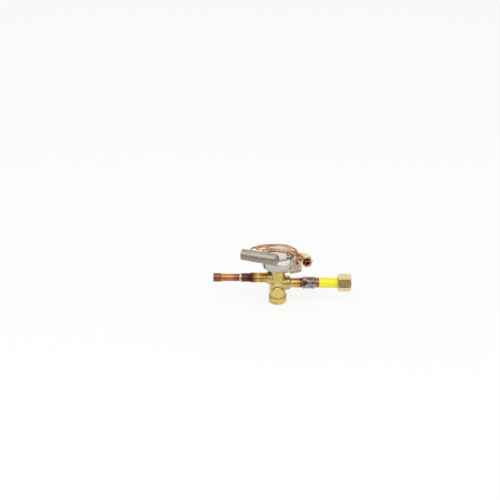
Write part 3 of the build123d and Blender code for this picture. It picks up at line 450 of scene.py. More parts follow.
@dataclass
class SwivelNut:
    """A hexagon nut with crowned ends and a cut thread, round a plain tube.

    Distances run along the axis from the origin, in mm. hexagon is where the flats start and end,
    turn the angle of one corner from across, shoulder the length and end radius of the cone past
    the flats, and thread its start, its end and its crests' radius.
    """

    name: str
    node: str
    body: str
    origin: Point
    axis: Point
    across: Point
    flats: float
    hexagon: tuple[float, float]
    turn: float
    shoulder: tuple[float, float]
    bore: tuple[tuple[float, float], ...]
    thread: tuple[float, float, float]
    pitch: float
    depth: float
    finish: Metal
    crown_drop: float = 0.9
    crown_slope: float = 30.0
    crown_rows: int = 5
    shoulder_rows: int = 5
    thread_rows: int = 10  # for each turn of the thread
    thread_fade: float = 0.6  # turns over which it starts and ends
    thread_power: float = 0.8  # under 1 rounds its roots
    columns: int = 192
    corner_pull: float = 0.14
    flat_power: float = 90.0

    def angles(self) -> np.ndarray:
        """Angles round the nut, closer together at the hexagon's six corners.

        A share t of a side moves to t - corner_pull * sin(2 pi t).

        Returns:
            One angle for each column, in radians.
        """
        t = np.arange(self.columns // 6) / (self.columns // 6)
        side = t - self.corner_pull * np.sin(2 * pi * t)
        return radians(self.turn) + (np.arange(6)[:, None] + side).ravel() * pi / 3

    def hexagon_radius(self, angle: np.ndarray) -> np.ndarray:
        """Radius of a hexagon with slightly rounded corners.

        It is the flat's distance over the p-norm of the cosines of the angles to the six flats.

        Args:
            angle: Angle round the nut.

        Returns:
            Radius for each angle, in mm.
        """
        middles = radians(self.turn) + (np.arange(6) + 0.5) * pi / 3
        toward = np.clip(np.cos(angle[:, None] - middles), 0, 1)
        return self.flats / 2 / (toward**self.flat_power).sum(1) ** (1 / self.flat_power)

    def outside(self, angle: np.ndarray) -> tuple[np.ndarray, np.ndarray]:
        """Rows of the outside: each end's face, up its crown cone, and along the flats.

        The cone meets the hexagon where its radius, flat - drop + distance / tan(slope), is the
        hexagon's, so that each arc of the crown is a row of its own.

        Args:
            angle: Angle round the nut.

        Returns:
            Stations and radii, rows x columns, in mm.
        """
        start, end = self.hexagon
        face = self.flats / 2 - self.crown_drop
        edge = self.hexagon_radius(angle)
        rise = (edge - face) * tan(radians(self.crown_slope))
        steps = np.linspace(0, 1, self.crown_rows)[:, None]
        up = (start + steps * rise, face + steps * (edge - face))
        steps = steps[::-1]
        down = (end - steps * rise, face + steps * (edge - face))
        stations = np.concatenate([up[0], down[0]])
        radii = np.concatenate([up[1], down[1]])
        length, radius = self.shoulder
        if length > 0:
            cone = np.linspace(0, 1, self.shoulder_rows + 1)[1:, None] + 0 * angle
            stations = np.concatenate([stations, end + cone * length])
            radii = np.concatenate([radii, face + cone * (radius - face)])
        return stations, radii

    def inside(self, angle: np.ndarray) -> tuple[np.ndarray, np.ndarray]:
        """Rows of the bore: its outline, with the thread cut into one stretch.

        The groove's depth at distance s and angle a is depth * (1 - |cos(pi * (s / pitch - a / 2
        pi))|) ** thread_power, faded to nothing at both ends of the stretch.

        Args:
            angle: Angle round the nut.

        Returns:
            Stations and radii, rows x columns, in mm.
        """
        low, high, minor = self.thread
        rows = int((high - low) / self.pitch * self.thread_rows)
        s = np.linspace(low, high, rows)[:, None] + 0 * angle
        wave = 1 - np.abs(np.cos(pi * (s / self.pitch - angle / (2 * pi))))
        fade = np.clip(np.minimum(s - low, high - s) / (self.thread_fade * self.pitch), 0, 1)
        cut = minor + self.depth * wave**self.thread_power * fade
        before = [p for p in self.bore if p[0] <= low]
        after = [p for p in self.bore if p[0] >= high]

        def rows_of(points: list[tuple[float, float]]) -> tuple[np.ndarray, np.ndarray]:
            """Rows with one station and one radius each."""
            table = np.array(points, float).reshape(-1, 2)
            return table[:, :1] + 0 * angle, table[:, 1:] + 0 * angle

        first, last = rows_of(before), rows_of(after)
        return (
            np.concatenate([first[0], s, last[0]]),
            np.concatenate([first[1], cut, last[1]]),
        )

    def build(self) -> None:
        """Builds and dresses the nut."""
        angle = self.angles()
        outer, inner = self.outside(angle), self.inside(angle)
        station = np.concatenate([outer[0], inner[0][::-1]])
        radius = np.concatenate([outer[1], inner[1][::-1]])
        grid = round_grid(station, radius, angle, self.origin, self.axis, self.across)
        fit(closed_grid(self.name, grid), self.body, self.finish, [self.node])


@dataclass
class BrazeSmear:
    """Braze alloy that ran over a belled joint and set in lumps.

    profile gives the copper's own outline as (distance, radius) points, span the alloy's two
    ends, thickness its least and most, and fillet the middle and height of its ridge. Its
    thickness is a soft uneven field, thinned to nothing at both ends.
    """

    name: str
    node: str
    origin: Point
    axis: Point
    profile: tuple[tuple[float, float], ...]
    span: tuple[float, float]
    thickness: tuple[float, float]
    finish: Metal
    seed: int
    fillet: tuple[float, float] = (0.0, 0.0)
    fillet_width: float = 1.3
    sink: float = 0.35
    end_share: float = 0.12  # of the span, over which each end thins out
    end_sink: float = 0.05  # how far the ends go under the copper's skin
    lumps: int = 14  # waves in the uneven field
    rows: int = 90
    columns: int = 144

    def build(self) -> None:
        """Builds and dresses the alloy.

        Its radius is the copper's radius, plus the fillet's rise, plus low + (high - low) * lump
        ** 2, where lump is the uneven field brought to 0 to 1.
        """
        s = np.linspace(*self.span, self.rows)[:, None]
        angle = np.linspace(0, 2 * pi, self.columns, endpoint=False)
        table = np.array(self.profile)
        copper = np.interp(s, table[:, 0], table[:, 1])
        share = (s - self.span[0]) / (self.span[1] - self.span[0])
        fade = np.clip(np.minimum(share, 1 - share) / self.end_share, 0, 1)
        fade = fade * fade * (3 - 2 * fade)
        lump = np.clip(0.5 + 0.5 * waves(s, angle[None], self.lumps, self.seed), 0, 1.2)
        low, high = self.thickness
        middle, height = self.fillet
        rise = height * np.exp(-(((s - middle) / self.fillet_width) ** 2)) if height else 0.0
        thick = (low + (high - low) * lump**2 + rise) * fade - self.end_sink * (1 - fade)
        outer = copper + thick
        inner = copper - self.sink + 0 * angle
        station = np.concatenate([s + 0 * angle, (s + 0 * angle)[::-1]])
        radius = np.concatenate([outer, inner[::-1]])
        grid = round_grid(station, radius, angle, self.origin, self.axis, (0, 0, 1))
        fit(closed_grid(self.name, grid), "valve", self.finish, [self.node])


@dataclass
class LabelWrap:
    """A bare vinyl wrap laid once round the tube, with its ends lapped."""

    finish: Polymer
    start: float = 53.0
    end: float = 76.4
    inner: float = 6.37
    sheet: float = 0.2
    lap_angle: float = 125.0
    lap_width: float = 32.0
    lap_slope: float = 12.0  # degrees over which the lap thins out
    lap_rise: float = 0.16
    pucker: float = 0.035
    edge_share: float = 0.45  # of the sheet's thickness that is left at its cut edges
    edge_width: float = 0.3
    height: float = 27.4
    rows: int = 48
    columns: int = 240

    def build(self) -> None:
        """Builds and dresses the wrap.

        Its outer radius is inner + sheet, plus a second sheet inside the lap, which starts with a
        step and ends with a slope, plus shallow puckers.
        """
        step = np.radians(self.lap_angle)
        near = step + np.radians([-0.9, 0.0, 0.9])  # close columns, so that the step is steep
        rest = step + np.radians(np.linspace(3, 357, self.columns - 3))
        angle = np.concatenate([near, rest])
        past = np.degrees(angle - step)
        lap = np.where(past >= 0, np.clip((self.lap_width - past) / self.lap_slope, 0, 1), 0)
        lap = np.where(past > 180, 0, lap)
        s = np.linspace(self.start, self.end, self.rows)[:, None]
        pucker = self.pucker * waves(s * 0.5, angle[None], 10, 5)
        edge = np.clip(np.minimum(s - self.start, self.end - s) / self.edge_width, 0, 1)
        skin = self.sheet * (self.edge_share + (1 - self.edge_share) * edge)
        outer = self.inner + skin + self.lap_rise * lap + pucker
        inner = self.inner + 0 * outer[:2]
        station = np.concatenate([s + 0 * angle, s[[-1, 0]] + 0 * angle])
        radius = np.concatenate([outer, inner])
        grid = round_grid(station, radius, angle, (0, 0, self.height), (1, 0, 0), (0, 0, 1))
        piece = closed_grid("label_wrap", grid)
        fit(piece, "valve", self.finish, ["identification_label"])


@dataclass
class SpigotThread:
    """The thread cut on the body's spigot, as a thin sleeve over its plain skin."""

    finish: Metal
    span: tuple[float, float] = (5.5, 8.9)
    radius: float = 9.5
    pitch: float = 1.0
    depth: float = 0.2
    rows: int = 12  # for each turn
    columns: int = 144
    power: float = 1.3  # over 1 sharpens the crests
    fade: float = 0.5  # turns over which it starts and ends
    lift: float = 0.01  # of the sleeve over the spigot's skin
    wall: float = 0.3

    def build(self) -> None:
        """Builds and dresses the thread.

        The crest's height at distance s and angle a is depth * |cos(pi * (s / pitch - a / 2 pi))|
        ** power, faded at both ends.
        """
        low, high = self.span
        s = np.linspace(low, high, int((high - low) / self.pitch * self.rows))[:, None]
        angle = np.linspace(0, 2 * pi, self.columns, endpoint=False)
        crest = np.abs(np.cos(pi * (s / self.pitch - angle / (2 * pi)))) ** self.power
        fade = np.clip(np.minimum(s - low, high - s) / (self.fade * self.pitch), 0, 1)
        outer = self.radius + self.lift + self.depth * crest * fade
        inner = self.radius - self.wall + 0 * outer[:2]
        station = np.concatenate([s + 0 * angle, s[[-1, 0]] + 0 * angle])
        radius = np.concatenate([outer, inner])
        grid = round_grid(station, radius, angle, (0, 0, 0), (0, 0, 1), (1, 0, 0))
        fit(closed_grid("spigot_thread", grid), "valve", self.finish)


@dataclass
class WeldBead:
    """The rippled bead of the seam weld round the power head."""

    finish: Metal
    height: float = 64.8
    radius: float = 21.95
    wire: float = 0.42
    ripples: int = 118
    ripple: float = 0.1
    slant: float = 1.2  # how far a ripple leads in the bead's middle
    columns: int = 944
    rows: int = 10

    def build(self) -> None:
        """Builds and dresses the bead.

        It is a ring whose wire radius is wire * (1 + ripple * sin(ripples * angle + slant *
        cos(turn))), with turn the angle round the wire.
        """
        angle = np.linspace(0, 2 * pi, self.columns, endpoint=False)[None]
        turn = np.linspace(0, 2 * pi, self.rows, endpoint=False)[:, None]
        wave = np.sin(self.ripples * angle + self.slant * np.cos(turn))
        wire = self.wire * (1 + self.ripple * wave)
        grid = round_grid(
            self.height + wire * np.sin(turn), self.radius + wire * np.cos(turn), angle[0],
            (0, 0, 0), (0, 0, 1), (1, 0, 0),
        )
        fit(closed_grid("head_weld_bead", grid), "valve", self.finish)


@dataclass
class SpringCoils:
    """A stretch of a round-wire coil spring, built fixed between two heights; the two bodies are
    only named.

    Heights are above the floor, in mm. The wire's centre line starts at the spring's foot.
    """

    name: str
    lower_body: str
    upper_body: str
    span: tuple[float, float]
    bend: tuple[float, float]
    foot: float = 15.7
    pitch: float = 6.7 / 4.5
    coil_radius: float = 4.5
    wire_radius: float = 0.6
    core: float = 0.05
    rows: int = 240
    columns: int = 16

    def build(self, finish: Metal) -> None:
        """Builds and dresses the stretch.

        The centre line is (R cos t, R sin t, z) with t = 2 pi (z - foot) / pitch. Round it, at the
        angle a, a point lies r cos a along the coil's radius and r sin a along the way square to
        the radius and the wire. The wire goes up outside and comes back along a thin core.

        Args:
            finish: The spring's finish.
        """
        z = np.linspace(*self.span, self.rows)
        turn = 2 * pi * (z - self.foot) / self.pitch
        flat = 0 * z
        out = np.stack([np.cos(turn), np.sin(turn), flat], -1)
        rise = self.pitch / (2 * pi)
        way = np.stack(
            [-self.coil_radius * np.sin(turn), self.coil_radius * np.cos(turn), flat + rise], -1
        )
        side = np.cross(way / np.linalg.norm(way, axis=1, keepdims=True), out)
        centre = self.coil_radius * out + z[:, None] * np.array([0.0, 0.0, 1.0])
        angle = np.linspace(0, 2 * pi, self.columns, endpoint=False)
        ring = np.cos(angle)[:, None] * out[:, None] + np.sin(angle)[:, None] * side[:, None]
        skin = centre[:, None] + self.wire_radius * ring
        core = centre[:, None] + self.core * ring
        piece = closed_grid(self.name, np.concatenate([skin, core[::-1]]) * MM)
        piece.data.materials.append(finish.make())
        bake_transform(piece)
        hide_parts("superheat_spring")
        REPORT.info("built %s between %s and %s", self.name, self.lower_body, self.upper_body)


# ---- Sub-assemblies --------------------------------------------------------------------------

# Hot-forged brass, bright dipped: warm yellow with a grained skin, darker where it cooled slowly.
FORGED = Metal("forged_brass_bright_dipped", "DECA84", "C6AD5E", (0.3, 0.44), 9.0, 0.45, 0.012)


def turned(name: str, light: str, dark: str, axis: Point, origin: Point = (0, 0, 0)) -> Metal:
    """Free-cutting brass off the lathe: fine rings that streak its highlights.

    Args:
        name: Name of the material.
        light: Lighter colour.
        dark: Darker colour.
        axis: The piece's turning axis.
        origin: A point on that axis, in mm.

    Returns:
        The finish.
    """
    return Metal(
        name, light, dark, (0.16, 0.34), 7.0, 0.5, 0.004, Lay.ROUND, 0.28, 0.006, origin, axis
    )


# Copper tube, drawn and then heated by the torch: salmon red under lengthwise lines, with dark
# brown oxide in patches.
HEATED = Metal(
    "torch_heated_copper", "C9956F", "9A6A4C", (0.26, 0.4), 8.0, 0.35, 0.006, Lay.ALONG, 0.3, 0.003,
    tint_wander_mm=7.0, speck="5A342A", speck_share=0.62, speck_mm=4.0,
)
# The same tube further from the flame: annealed, dull, and only lightly browned.
ANNEALED = replace(HEATED, name="annealed_copper", speck="80503C")


@dataclass
class BodyCasting:
    """The forged body with its front plug, seal cap, gland and gasket."""

    plug_height: float = 18.1
    # Painted shade: the narrow gap round the plug's head is coloured dark brown behind its light
    # face.
    painted_gap_shade: tuple[tuple[float, str], ...] = (
        (-11.75, "DAC888"), (-11.45, "D6C484"), (-11.25, "7A6030"), (-9.0, "6A5228"),
    )

    def dress(self) -> None:
        """Finishes the body's own nodes."""
        dress("valve_body", FORGED)
        front = (0, 0, self.plug_height)
        # The front plug's tint is painted shade in the gap behind its face.
        dress("front_plug", replace(
            turned("turned_brass_plug", "DAC888", "CDB878", (0, -1, 0), front),
            tint=self.painted_gap_shade, tint_along="Y", tint_wander_mm=0.05,
        ))
        # The cap and the gland are turned about the valve's own axis, so their rings lie level.
        dress("seal_cap", turned("turned_brass_cap", "DFC880", "C8AA5A", (0, 0, 1)))
        dress("packing_gland", turned("turned_brass_gland", "DDBF80", "B8944E", (0, 0, 1)))
        # Vulcanised fibre: dull, tan and slightly hairy.
        dress("cap_gasket", Polymer("vulcanised_fibre", "D8C088", "B89C64", 0.7, 0.5, 0.03))

    def build(self) -> None:
        """Builds the spigot's thread, which shows when the cap is off."""
        # Die-cut brass: bright crests over darker, oily roots.
        SpigotThread(turned("cut_brass_thread", "DDBF80", "A9853F", (0, 0, 1))).build()


@dataclass
class PowerHead:
    """The welded stainless head with its diaphragm."""

    # Painted shade: a dark line in the pressed groove at the crown's edge, with the dome above it
    # painted a little darker than the wall.
    painted_crown_shade: tuple[tuple[float, str], ...] = (
        (64.0, "E6E2DC"), (69.8, "E8E4DF"), (70.5, "A8A49C"), (71.15, "6C6860"), (71.35, "B9B5AD"),
        (72.0, "DAD6D0"), (76.0, "E0DCD6"),
    )
    # Painted shadow: the lower cup turns near black at its foot, above the neck.
    painted_foot_shadow: tuple[tuple[float, str], ...] = (
        (52.8, "4A4038"), (53.3, "6E665C"), (54.6, "B3AEA5"), (58.0, "C6C1B9"), (64.0, "C9C4BC"),
    )

    def dress(self) -> None:
        """Finishes the two cups and the diaphragm."""
        # Deep-drawn stainless sheet, tumbled bright: nearly white, with soft drawing lines.
        sheet = dict(patch_mm=11.0, grain_mm=0.6, grain_height_mm=0.008, lay=Lay.ROUND, mark_mm=0.5,
                     mark_height_mm=0.004)
        # The upper cup's tint is painted shade at the crown's edge.
        dress("head_upper_cup", Metal(
            "drawn_stainless_upper", "E8E4DF", "D4CFC9", (0.1, 0.22), tint=self.painted_crown_shade,
            tint_along="Z", tint_wander_mm=0.1, **sheet,
        ))
        # The lower cup is painted in shade: greyer than the same sheet above, and near black at its
        # foot as a painted shadow.
        dress("head_lower_cup", Metal(
            "drawn_stainless_lower", "C9C4BC", "B5B0A7", (0.16, 0.28), tint=self.painted_foot_shadow,
            tint_along="Z", tint_wander_mm=0.3, **sheet,
        ))
        # Cold-rolled stainless foil: even and bright, with hardly any grain.
        dress("diaphragm", Metal("rolled_stainless_foil", "DEDDDA", "C4C3BF", (0.15, 0.3)))

    def build(self) -> None:
        """Builds the seam's weld bead."""
        # Stainless fused by the arc: silver ripples with straw-grey scale between them.
        bead = Metal("fused_stainless_bead", "D5D2CB", "97928A", (0.22, 0.4), 3.0, 0.4, 0.01)
        WeldBead(bead).build()


@dataclass
class OutletLine:
    """The half-inch stub, its reduced end and the belled three-eighths tube."""

    height: float = 35.0
    # From the browned socket through purple and straw to the clean copper at the body.
    tint: tuple[tuple[float, str], ...] = (
        (-48.0, "8A6A58"), (-46.0, "5E4334"), (-41.5, "725442"), (-37.0, "4C3230"),
        (-33.5, "5A3038"), (-31.0, "7B5A3A"), (-28.0, "C8A24C"), (-24.5, "D9C486"),
        (-22.0, "C9A555"), (-19.0, "CE9C40"), (-14.0, "E0B45C"),
    )
    # The belled end and the stretch beside the joint are browner than the tube's middle.
    bell_tint: tuple[tuple[float, str], ...] = (
        (-83.0, "8C6052"), (-74.0, "94684E"), (-70.0, "BA8A60"), (-60.0, "C29266"),
        (-54.0, "9A6E54"), (-48.0, "7A5648"),
    )

    def dress(self) -> None:
        """Finishes the line's copper."""
        line = dict(origin=(0, 0, self.height), axis=(-1, 0, 0))
        dress("outlet_stub", replace(
            HEATED, name="torch_tinted_copper_outlet", tint=self.tint, **line,
        ))
        dress("outlet_tube", replace(
            ANNEALED, name="annealed_copper_outlet", light="C29068", dark="96664A",
            rough=(0.28, 0.42), patch_mm=9.0, tint=self.bell_tint, tint_wander_mm=5.0,
            speck_share=0.58, speck_mm=7.0, **line,
        ))

    def build(self) -> None:
        """Builds the bead at the reduced end."""
        BrazeSmear(
            name="outlet_braze_bead", node="outlet_braze", origin=(0, 0, self.height),
            axis=(-1, 0, 0), profile=((44.0, 5.55), (46.7, 5.55), (47.0, 4.763), (50.0, 4.763)),
            span=(45.6, 49.0), thickness=(0.05, 0.3), seed=3, fillet=(46.9, 0.3),
            # Silver alloy set in a ring: pale, with a warm cast where it is thin.
            finish=Metal("set_braze_bead", "E6DACA", "A48E7C", (0.25, 0.45), 2.0, 0.35, 0.015),
        ).build()


@dataclass
class InletLine:
    """The half-inch stub, its lumpy braze, the tail tube, the wrap and the swivel nut."""

    height: float = 27.4
    nut_back: float = 76.8
    # Clean copper at the body, then straw, brown and soot towards the joint.
    tint: tuple[tuple[float, str], ...] = (
        (15.0, "D9AC68"), (18.0, "E2C486"), (21.0, "DCB470"), (25.0, "D4AC6C"), (28.0, "B4804C"),
        (29.8, "5E3E34"), (36.0, "4A3230"), (44.0, "6B4A3E"), (46.5, "C08A6C"),
    )

    def dress(self) -> None:
        """Finishes the line's copper and its strainer."""
        line = dict(origin=(0, 0, self.height), axis=(1, 0, 0))
        dress("inlet_stub", replace(
            HEATED, name="torch_tinted_copper_inlet", rough=(0.24, 0.38), tint=self.tint,
            speck_share=0.64, **line,
        ))
        dress("inlet_tail_tube", replace(
            ANNEALED, name="annealed_copper_inlet", light="BC8264", dark="8A5844", patch_mm=7.0,
            speck_share=0.6, speck_mm=5.0, **line,
        ))
        # Perforated stainless sheet, rolled: plain grey with a dull sheen.
        dress("inlet_strainer", Metal("perforated_stainless", "C9C8C4", "9A9894", (0.25, 0.4)))
        # Silver-phosphorus alloy at the body: a smooth grey ring that wetted both metals.
        ring = ("CDBFA6", "8C7A60", (0.22, 0.4), 1.6, 0.3, 0.012)
        dress("inlet_body_braze", Metal("set_braze_inlet_root", *ring))
        dress("outlet_body_braze", Metal("set_braze_outlet_root", *ring))

    def build(self) -> None:
        """Builds the braze, the wrap and the nut."""
        bell = ((28.6, 6.35), (31.5, 6.35), (32.7, 7.4), (46.0, 7.4), (46.6, 6.75), (50.5, 6.35))
        BrazeSmear(
            name="inlet_braze_smear", node="inlet_braze", origin=(0, 0, self.height),
            axis=(1, 0, 0), profile=bell, span=(30.2, 49.0), thickness=(0.02, 0.78), seed=11,
            fillet=(46.6, 0.35),
            # Flux-stained silver braze: pale shiny lumps with brown flux glass between them.
            finish=Metal(
                "set_silver_braze", "B9AEAA", "7A6868", (0.2, 0.34), 7.0, 0.9, 0.006,
                speck="4E3C38", speck_share=0.54, speck_mm=9.0,
            ),
        ).build()
        LabelWrap(
            # Calendered vinyl: flat strong yellow under a weak gloss.
            Polymer("calendered_vinyl_yellow", "F7EE2E", "EFE222", 0.34, 1.2, 0.01, 0.25)
        ).build()
        axis, line = (1, 0, 0), (0, 0, self.height)
        SwivelNut(
            name="inlet_swivel_nut", node="inlet_nut", body="inlet_swivel",
            origin=(self.nut_back, 0, self.height), axis=axis, across=(0, 1, 0), flats=20.0,
            hexagon=(0.0, 17.3), turn=6.5, shoulder=(0.0, 0.0),
            bore=(
                (0.0, 6.4), (4.6, 6.4), (4.6, 7.75), (6.9, 7.75), (6.9, 7.4), (16.7, 7.4),
                (17.3, 8.0),
            ),
            thread=(6.9, 16.7, 7.4), pitch=1.4, depth=0.85,
            # Bar brass with more zinc than the forging: paler, almost straw.
            finish=turned("turned_pale_brass_inlet", "EED9A2", "E0CB92", axis, line),
        ).build()


@dataclass
class EqualizerLine:
    """The plated fitting on the neck, its bent tube and the loose flare nut."""

    end: Point = (38.1, -13.0, 62.9)
    end_turn: float = 17.5
    backset: float = 4.6

    def dress(self) -> None:
        """Finishes the fitting and the tube."""
        # Dull nickel over steel: nearly white, with soft blurred reflections.
        dress("equalizer_fitting", Metal(
            "nickel_plated_steel", "EEECE6", "DEDCD4", (0.3, 0.4), 6.0, 0.5, 0.008,
        ))
        # Quarter-inch copper, annealed for bending: rosy, with broad brown patches.
        dress("equalizer_tube", Metal(
            "annealed_copper_equalizer", "CF9078", "A4664E", (0.2, 0.4), 4.0, 0.35, 0.012,
        ))

    def build(self) -> None:
        """Builds the flare nut, with its mouth towards the flared end."""
        turn = radians(self.end_turn)
        out = np.array([sin(turn), -cos(turn), 0.0])
        mouth = tuple(np.array(self.end) - out * self.backset)
        axis = tuple(-out)
        SwivelNut(
            name="equalizer_flare_nut", node="equalizer_nut", body="equalizer_swivel",
            origin=mouth, axis=axis, across=(0, 0, 1), flats=14.3, hexagon=(0.0, 10.0), turn=30.0,
            shoulder=(5.0, 5.4),
            bore=((0.0, 5.65), (0.6, 5.05), (9.0, 5.05), (10.875, 3.225), (15.0, 3.225)),
            thread=(0.6, 9.0, 5.05), pitch=1.25, depth=0.65,
            # The same pale bar brass as the inlet nut.
            finish=turned("turned_pale_brass_flare", "EEDCAC", "E0CC98", axis, mouth),
        ).build()


@dataclass
class BulbAndCapillary:
    """The sensing bulb and its formed capillary."""

    nose: Point = (0.9, -27.4, 77.0)
    tail: Point = (-45.3, -13.2, 77.0)

    def dress(self) -> None:
        """Finishes the bulb and the capillary."""
        way = tuple(np.array(self.tail) - np.array(self.nose))
        # Stainless tube, belt-brushed lengthwise: warm grey with long fine lines.
        dress("sensing_bulb", Metal(
            "brushed_stainless_bulb", "AAA195", "9E9589", (0.42, 0.54), 9.0, 0.5, 0.004, Lay.ALONG,
            0.4, 0.02, self.nose, way,
        ))
        # Bright-drawn copper, bent by hand: smooth and glossy, with hardly any oxide.
        dress("capillary_tube", Metal(
            "bright_drawn_capillary", "D8A682", "B98660", (0.2, 0.34), 9.0, 0.3, 0.003,
        ))


@dataclass
class SpringStack:
    """What the body hides: stem, seat, spring, carrier, pin, rods and plate."""

    brass: tuple[str, ...] = ("spring_seat", "pin_carrier", "buffer_plate")
    steel: tuple[str, ...] = ("adjusting_stem", "valve_pin", "seat_insert", "push_rods")
    rubber: tuple[str, ...] = ("stem_seal", "rod_seal")

    def dress(self) -> None:
        """Finishes each hidden node: turned brass, ground steel and moulded black nitrile."""
        for node in self.brass:
            dress(node, turned("turned_brass_" + node, "DDC080", "B8924C", (0, 0, 1)))
        # Ground steel: cool grey with close, fine rings.
        for node in self.steel:
            dress(node, Metal(
                "ground_steel_" + node, "C4C3C0", "908F8C", (0.18, 0.32), 4.0, 0.4, 0.004,
                Lay.ROUND, 0.25, 0.004,
            ))
        # Nitrile rubber from a polished mould: black, half dull.
        for node in self.rubber:
            dress(node, Polymer("moulded_nitrile_" + node, "26262A", "18181A", 0.5, 0.6, 0.01))

    def build(self) -> None:
        """Builds the spring in two fixed stretches, its lower and its upper coils."""
        # Hard-drawn spring wire: dark grey with a narrow gloss.
        wire = Metal("drawn_spring_wire", "A9A8A6", "6E6D6B", (0.22, 0.4), 2.0, 0.3, 0.006)
        for stretch in (
            SpringCoils("spring_lower_coils", "seat_nut", "valve", (15.7, 20.6), (16.3, 20.6)),
            SpringCoils("spring_upper_coils", "valve", "pin_stack", (20.6, 22.4), (20.6, 22.2)),
        ):
            stretch.build(wire)


# ---- Studio ----------------------------------------------------------------------------------


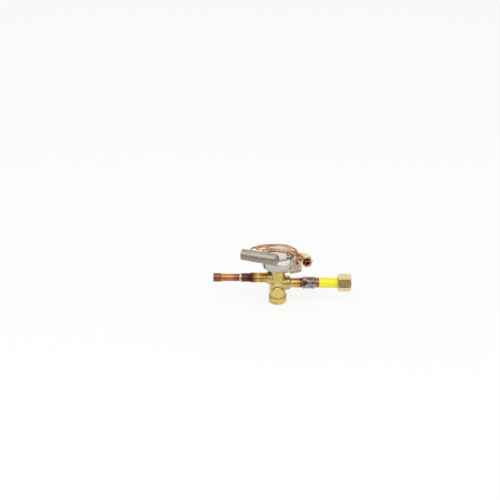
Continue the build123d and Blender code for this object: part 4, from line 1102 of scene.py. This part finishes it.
@dataclass
class Studio:
    """White floor and world, soft lamps, side flags and the camera."""

    aim: Point = (-35.5, 16.9, 65.8)  # mm
    width: float = 640.0  # mm across the frame, at the aim
    lens: float = 85.0
    elevation: float = 30.0
    azimuth: float = 1.0
    roll: float = -0.4
    fill: float = 0.7
    paper_glow: float = 0.82  # how much of the floor's white is its own
    # Each card's name, middle and size in metres, and the way it faces.
    cards: tuple[tuple[str, Point, tuple[float, float], Point], ...] = (
        ("flag_left", (-0.8, -0.1, 0.4), (1.8, 0.8), (1, 0, 0)),
        ("flag_right", (0.8, -0.1, 0.4), (1.8, 0.8), (-1, 0, 0)),
        ("flag_front", (0.0, -1.0, 0.4), (1.6, 0.8), (0, 1, 0)),
    )
    flag_top: float = 0.8
    flag_tones: tuple[tuple[float, str], ...] = (
        (0.0, "6A665E"), (0.3, "7C776E"), (0.62, "B9B5AD"), (1.0, "FFFFFF"),
    )
    # Each softbox's name, place and width in metres, and power in watts.
    softboxes: tuple[tuple[str, Point, float, float], ...] = (
        ("key_softbox", (-0.45, -0.55, 1.05), 1.2, 6.0),
        ("fill_softbox", (0.85, -0.4, 0.8), 0.9, 2.5),
    )
    softbox_aim: Point = (0, 0, 0.045)

    def world(self) -> None:
        """A white world for the camera and for mirrors, and a plain level for the rest."""
        made = bpy.data.worlds.new("studio")
        bpy.context.scene.world = made
        tree = empty_tree(made)
        share = self.seen(tree)
        plain = add(tree, "Background", {"Color": (1, 1, 1, 1), "Strength": self.fill})
        white = add(tree, "Background", {"Color": (1, 1, 1, 1), "Strength": 1.0})
        mix = add(tree, "MixShader", {0: share, 1: plain.outputs[0], 2: white.outputs[0]})
        add(tree, "OutputWorld", {"Surface": mix.outputs[0]})

    @staticmethod
    def seen(tree: Tree) -> Socket:
        """1 for rays from the camera, a mirror or glass, and 0 for the rest."""
        path = add(tree, "LightPath").outputs
        first = add(
            tree, "Math", {0: path["Is Camera Ray"], 1: path["Is Glossy Ray"]}, operation="MAXIMUM"
        ).outputs[0]
        return add(
            tree, "Math", {0: first, 1: path["Is Transmission Ray"]}, operation="MAXIMUM"
        ).outputs[0]

    def floor(self) -> None:
        """A white floor that keeps a soft shadow: mostly its own white, partly lit white."""
        made = bpy.data.materials.new("white_paper_floor")
        tree = empty_tree(made)
        lit = add(tree, "BsdfDiffuse", {"Color": linear("F4F4F4")})
        own = add(tree, "Emission", {"Color": (1, 1, 1, 1), "Strength": 1.0})
        share = add(
            tree, "Math", {0: self.seen(tree), 1: self.paper_glow}, operation="MULTIPLY"
        ).outputs[0]
        mix = add(tree, "MixShader", {0: share, 1: lit.outputs[0], 2: own.outputs[0]})
        add(tree, "OutputMaterial", {"Surface": mix.outputs[0]})
        self.sheet("paper_floor", (0, 0, -0.0002), (4.0, 4.0), (0, 0, 1), made)

    @staticmethod
    def sheet(
        name: str,
        centre: Point,
        size: tuple[float, float],
        facing: Point,
        made: bpy.types.Material,
    ) -> bpy.types.Object:
        """A flat rectangle of the studio.

        Its corners are centre + half the size along two axes square to the way it faces.

        Args:
            name: Name of the object.
            centre: Its middle, in metres.
            size: Width and height, in metres.
            facing: Its normal.
            made: Its material.

        Returns:
            The rectangle's object.
        """
        u, v, _ = axes_of(facing, (1, 0, 0) if abs(facing[0]) < 0.9 else (0, 1, 0))
        signs = np.array([(-1, -1), (1, -1), (1, 1), (-1, 1)]) / 2
        corners = np.array(centre) + signs[:, :1] * size[0] * u + signs[:, 1:] * size[1] * v
        mesh = bpy.data.meshes.new(name)
        mesh.from_pydata(corners.tolist(), [], [(0, 1, 2, 3)])
        mesh.materials.append(made)
        piece = shown(name, mesh)
        return piece

    def flags(self) -> None:
        """Grey cards round the object, darkest low down, which only its gloss sees."""
        made = bpy.data.materials.new("graded_flag")
        tree = empty_tree(made)
        place = add(tree, "TexCoord").outputs["Object"]
        height = add(tree, "SeparateXYZ", {"Vector": place}).outputs["Z"]
        rise = add(
            tree, "MapRange", {"Value": height, "From Min": 0.0, "From Max": self.flag_top}
        ).outputs["Result"]
        grade = add(tree, "ValToRGB", {"Fac": rise}, list(self.flag_tones)).outputs["Color"]
        tone = add(tree, "Emission", {"Color": grade, "Strength": 1.0})
        add(tree, "OutputMaterial", {"Surface": tone.outputs[0]})
        for name, centre, size, facing in self.cards:
            card = self.sheet(name, centre, size, facing, made)
            card.visible_camera = False
            card.visible_diffuse = False
            card.visible_shadow = False
            card.visible_transmission = False

    def lamps(self) -> None:
        """A large soft key above and left, and a weaker fill at the right."""
        for name, spot, size, power in self.softboxes:
            lamp = bpy.data.lights.new(name, "AREA")
            lamp.shape, lamp.size, lamp.energy = "SQUARE", size, power
            made = shown(name, lamp)
            made.location = spot
            way = Vector(self.softbox_aim) - Vector(spot)
            made.rotation_euler = way.to_track_quat("-Z", "Y").to_euler()

    def camera(self) -> None:
        """The camera, at its angle, aimed so that the object stands right of the middle."""
        shot = bpy.data.cameras.new("camera")
        shot.lens = self.lens
        a, e = radians(self.azimuth), radians(self.elevation)
        back = Vector((sin(a) * cos(e), -cos(a) * cos(e), sin(e)))
        away = self.width * MM * self.lens / shot.sensor_width
        made = shown("camera", shot)
        made.location = Vector(self.aim) * MM + back * away
        made.rotation_mode = "QUATERNION"
        tilt = Matrix.Rotation(radians(self.roll), 4, "Z").to_quaternion()
        made.rotation_quaternion = (-back).to_track_quat("-Z", "Y") @ tilt
        bpy.context.scene.camera = made

    def build(self) -> None:
        """Builds the whole studio."""
        scene = bpy.context.scene
        scene.view_settings.view_transform = "Standard"
        self.camera()
        self.world()
        self.floor()
        self.flags()
        self.lamps()


def main() -> None:
    """Builds the studio and each sub-assembly in order."""
    logging.basicConfig(level=logging.INFO, format="%(message)s")
    Studio().build()
    for part in (
        BodyCasting(), PowerHead(), OutletLine(), InletLine(), EqualizerLine(), SpringStack()
    ):
        part.dress()
        part.build()
    BulbAndCapillary().dress()


if __name__ == "__main__":
    main()
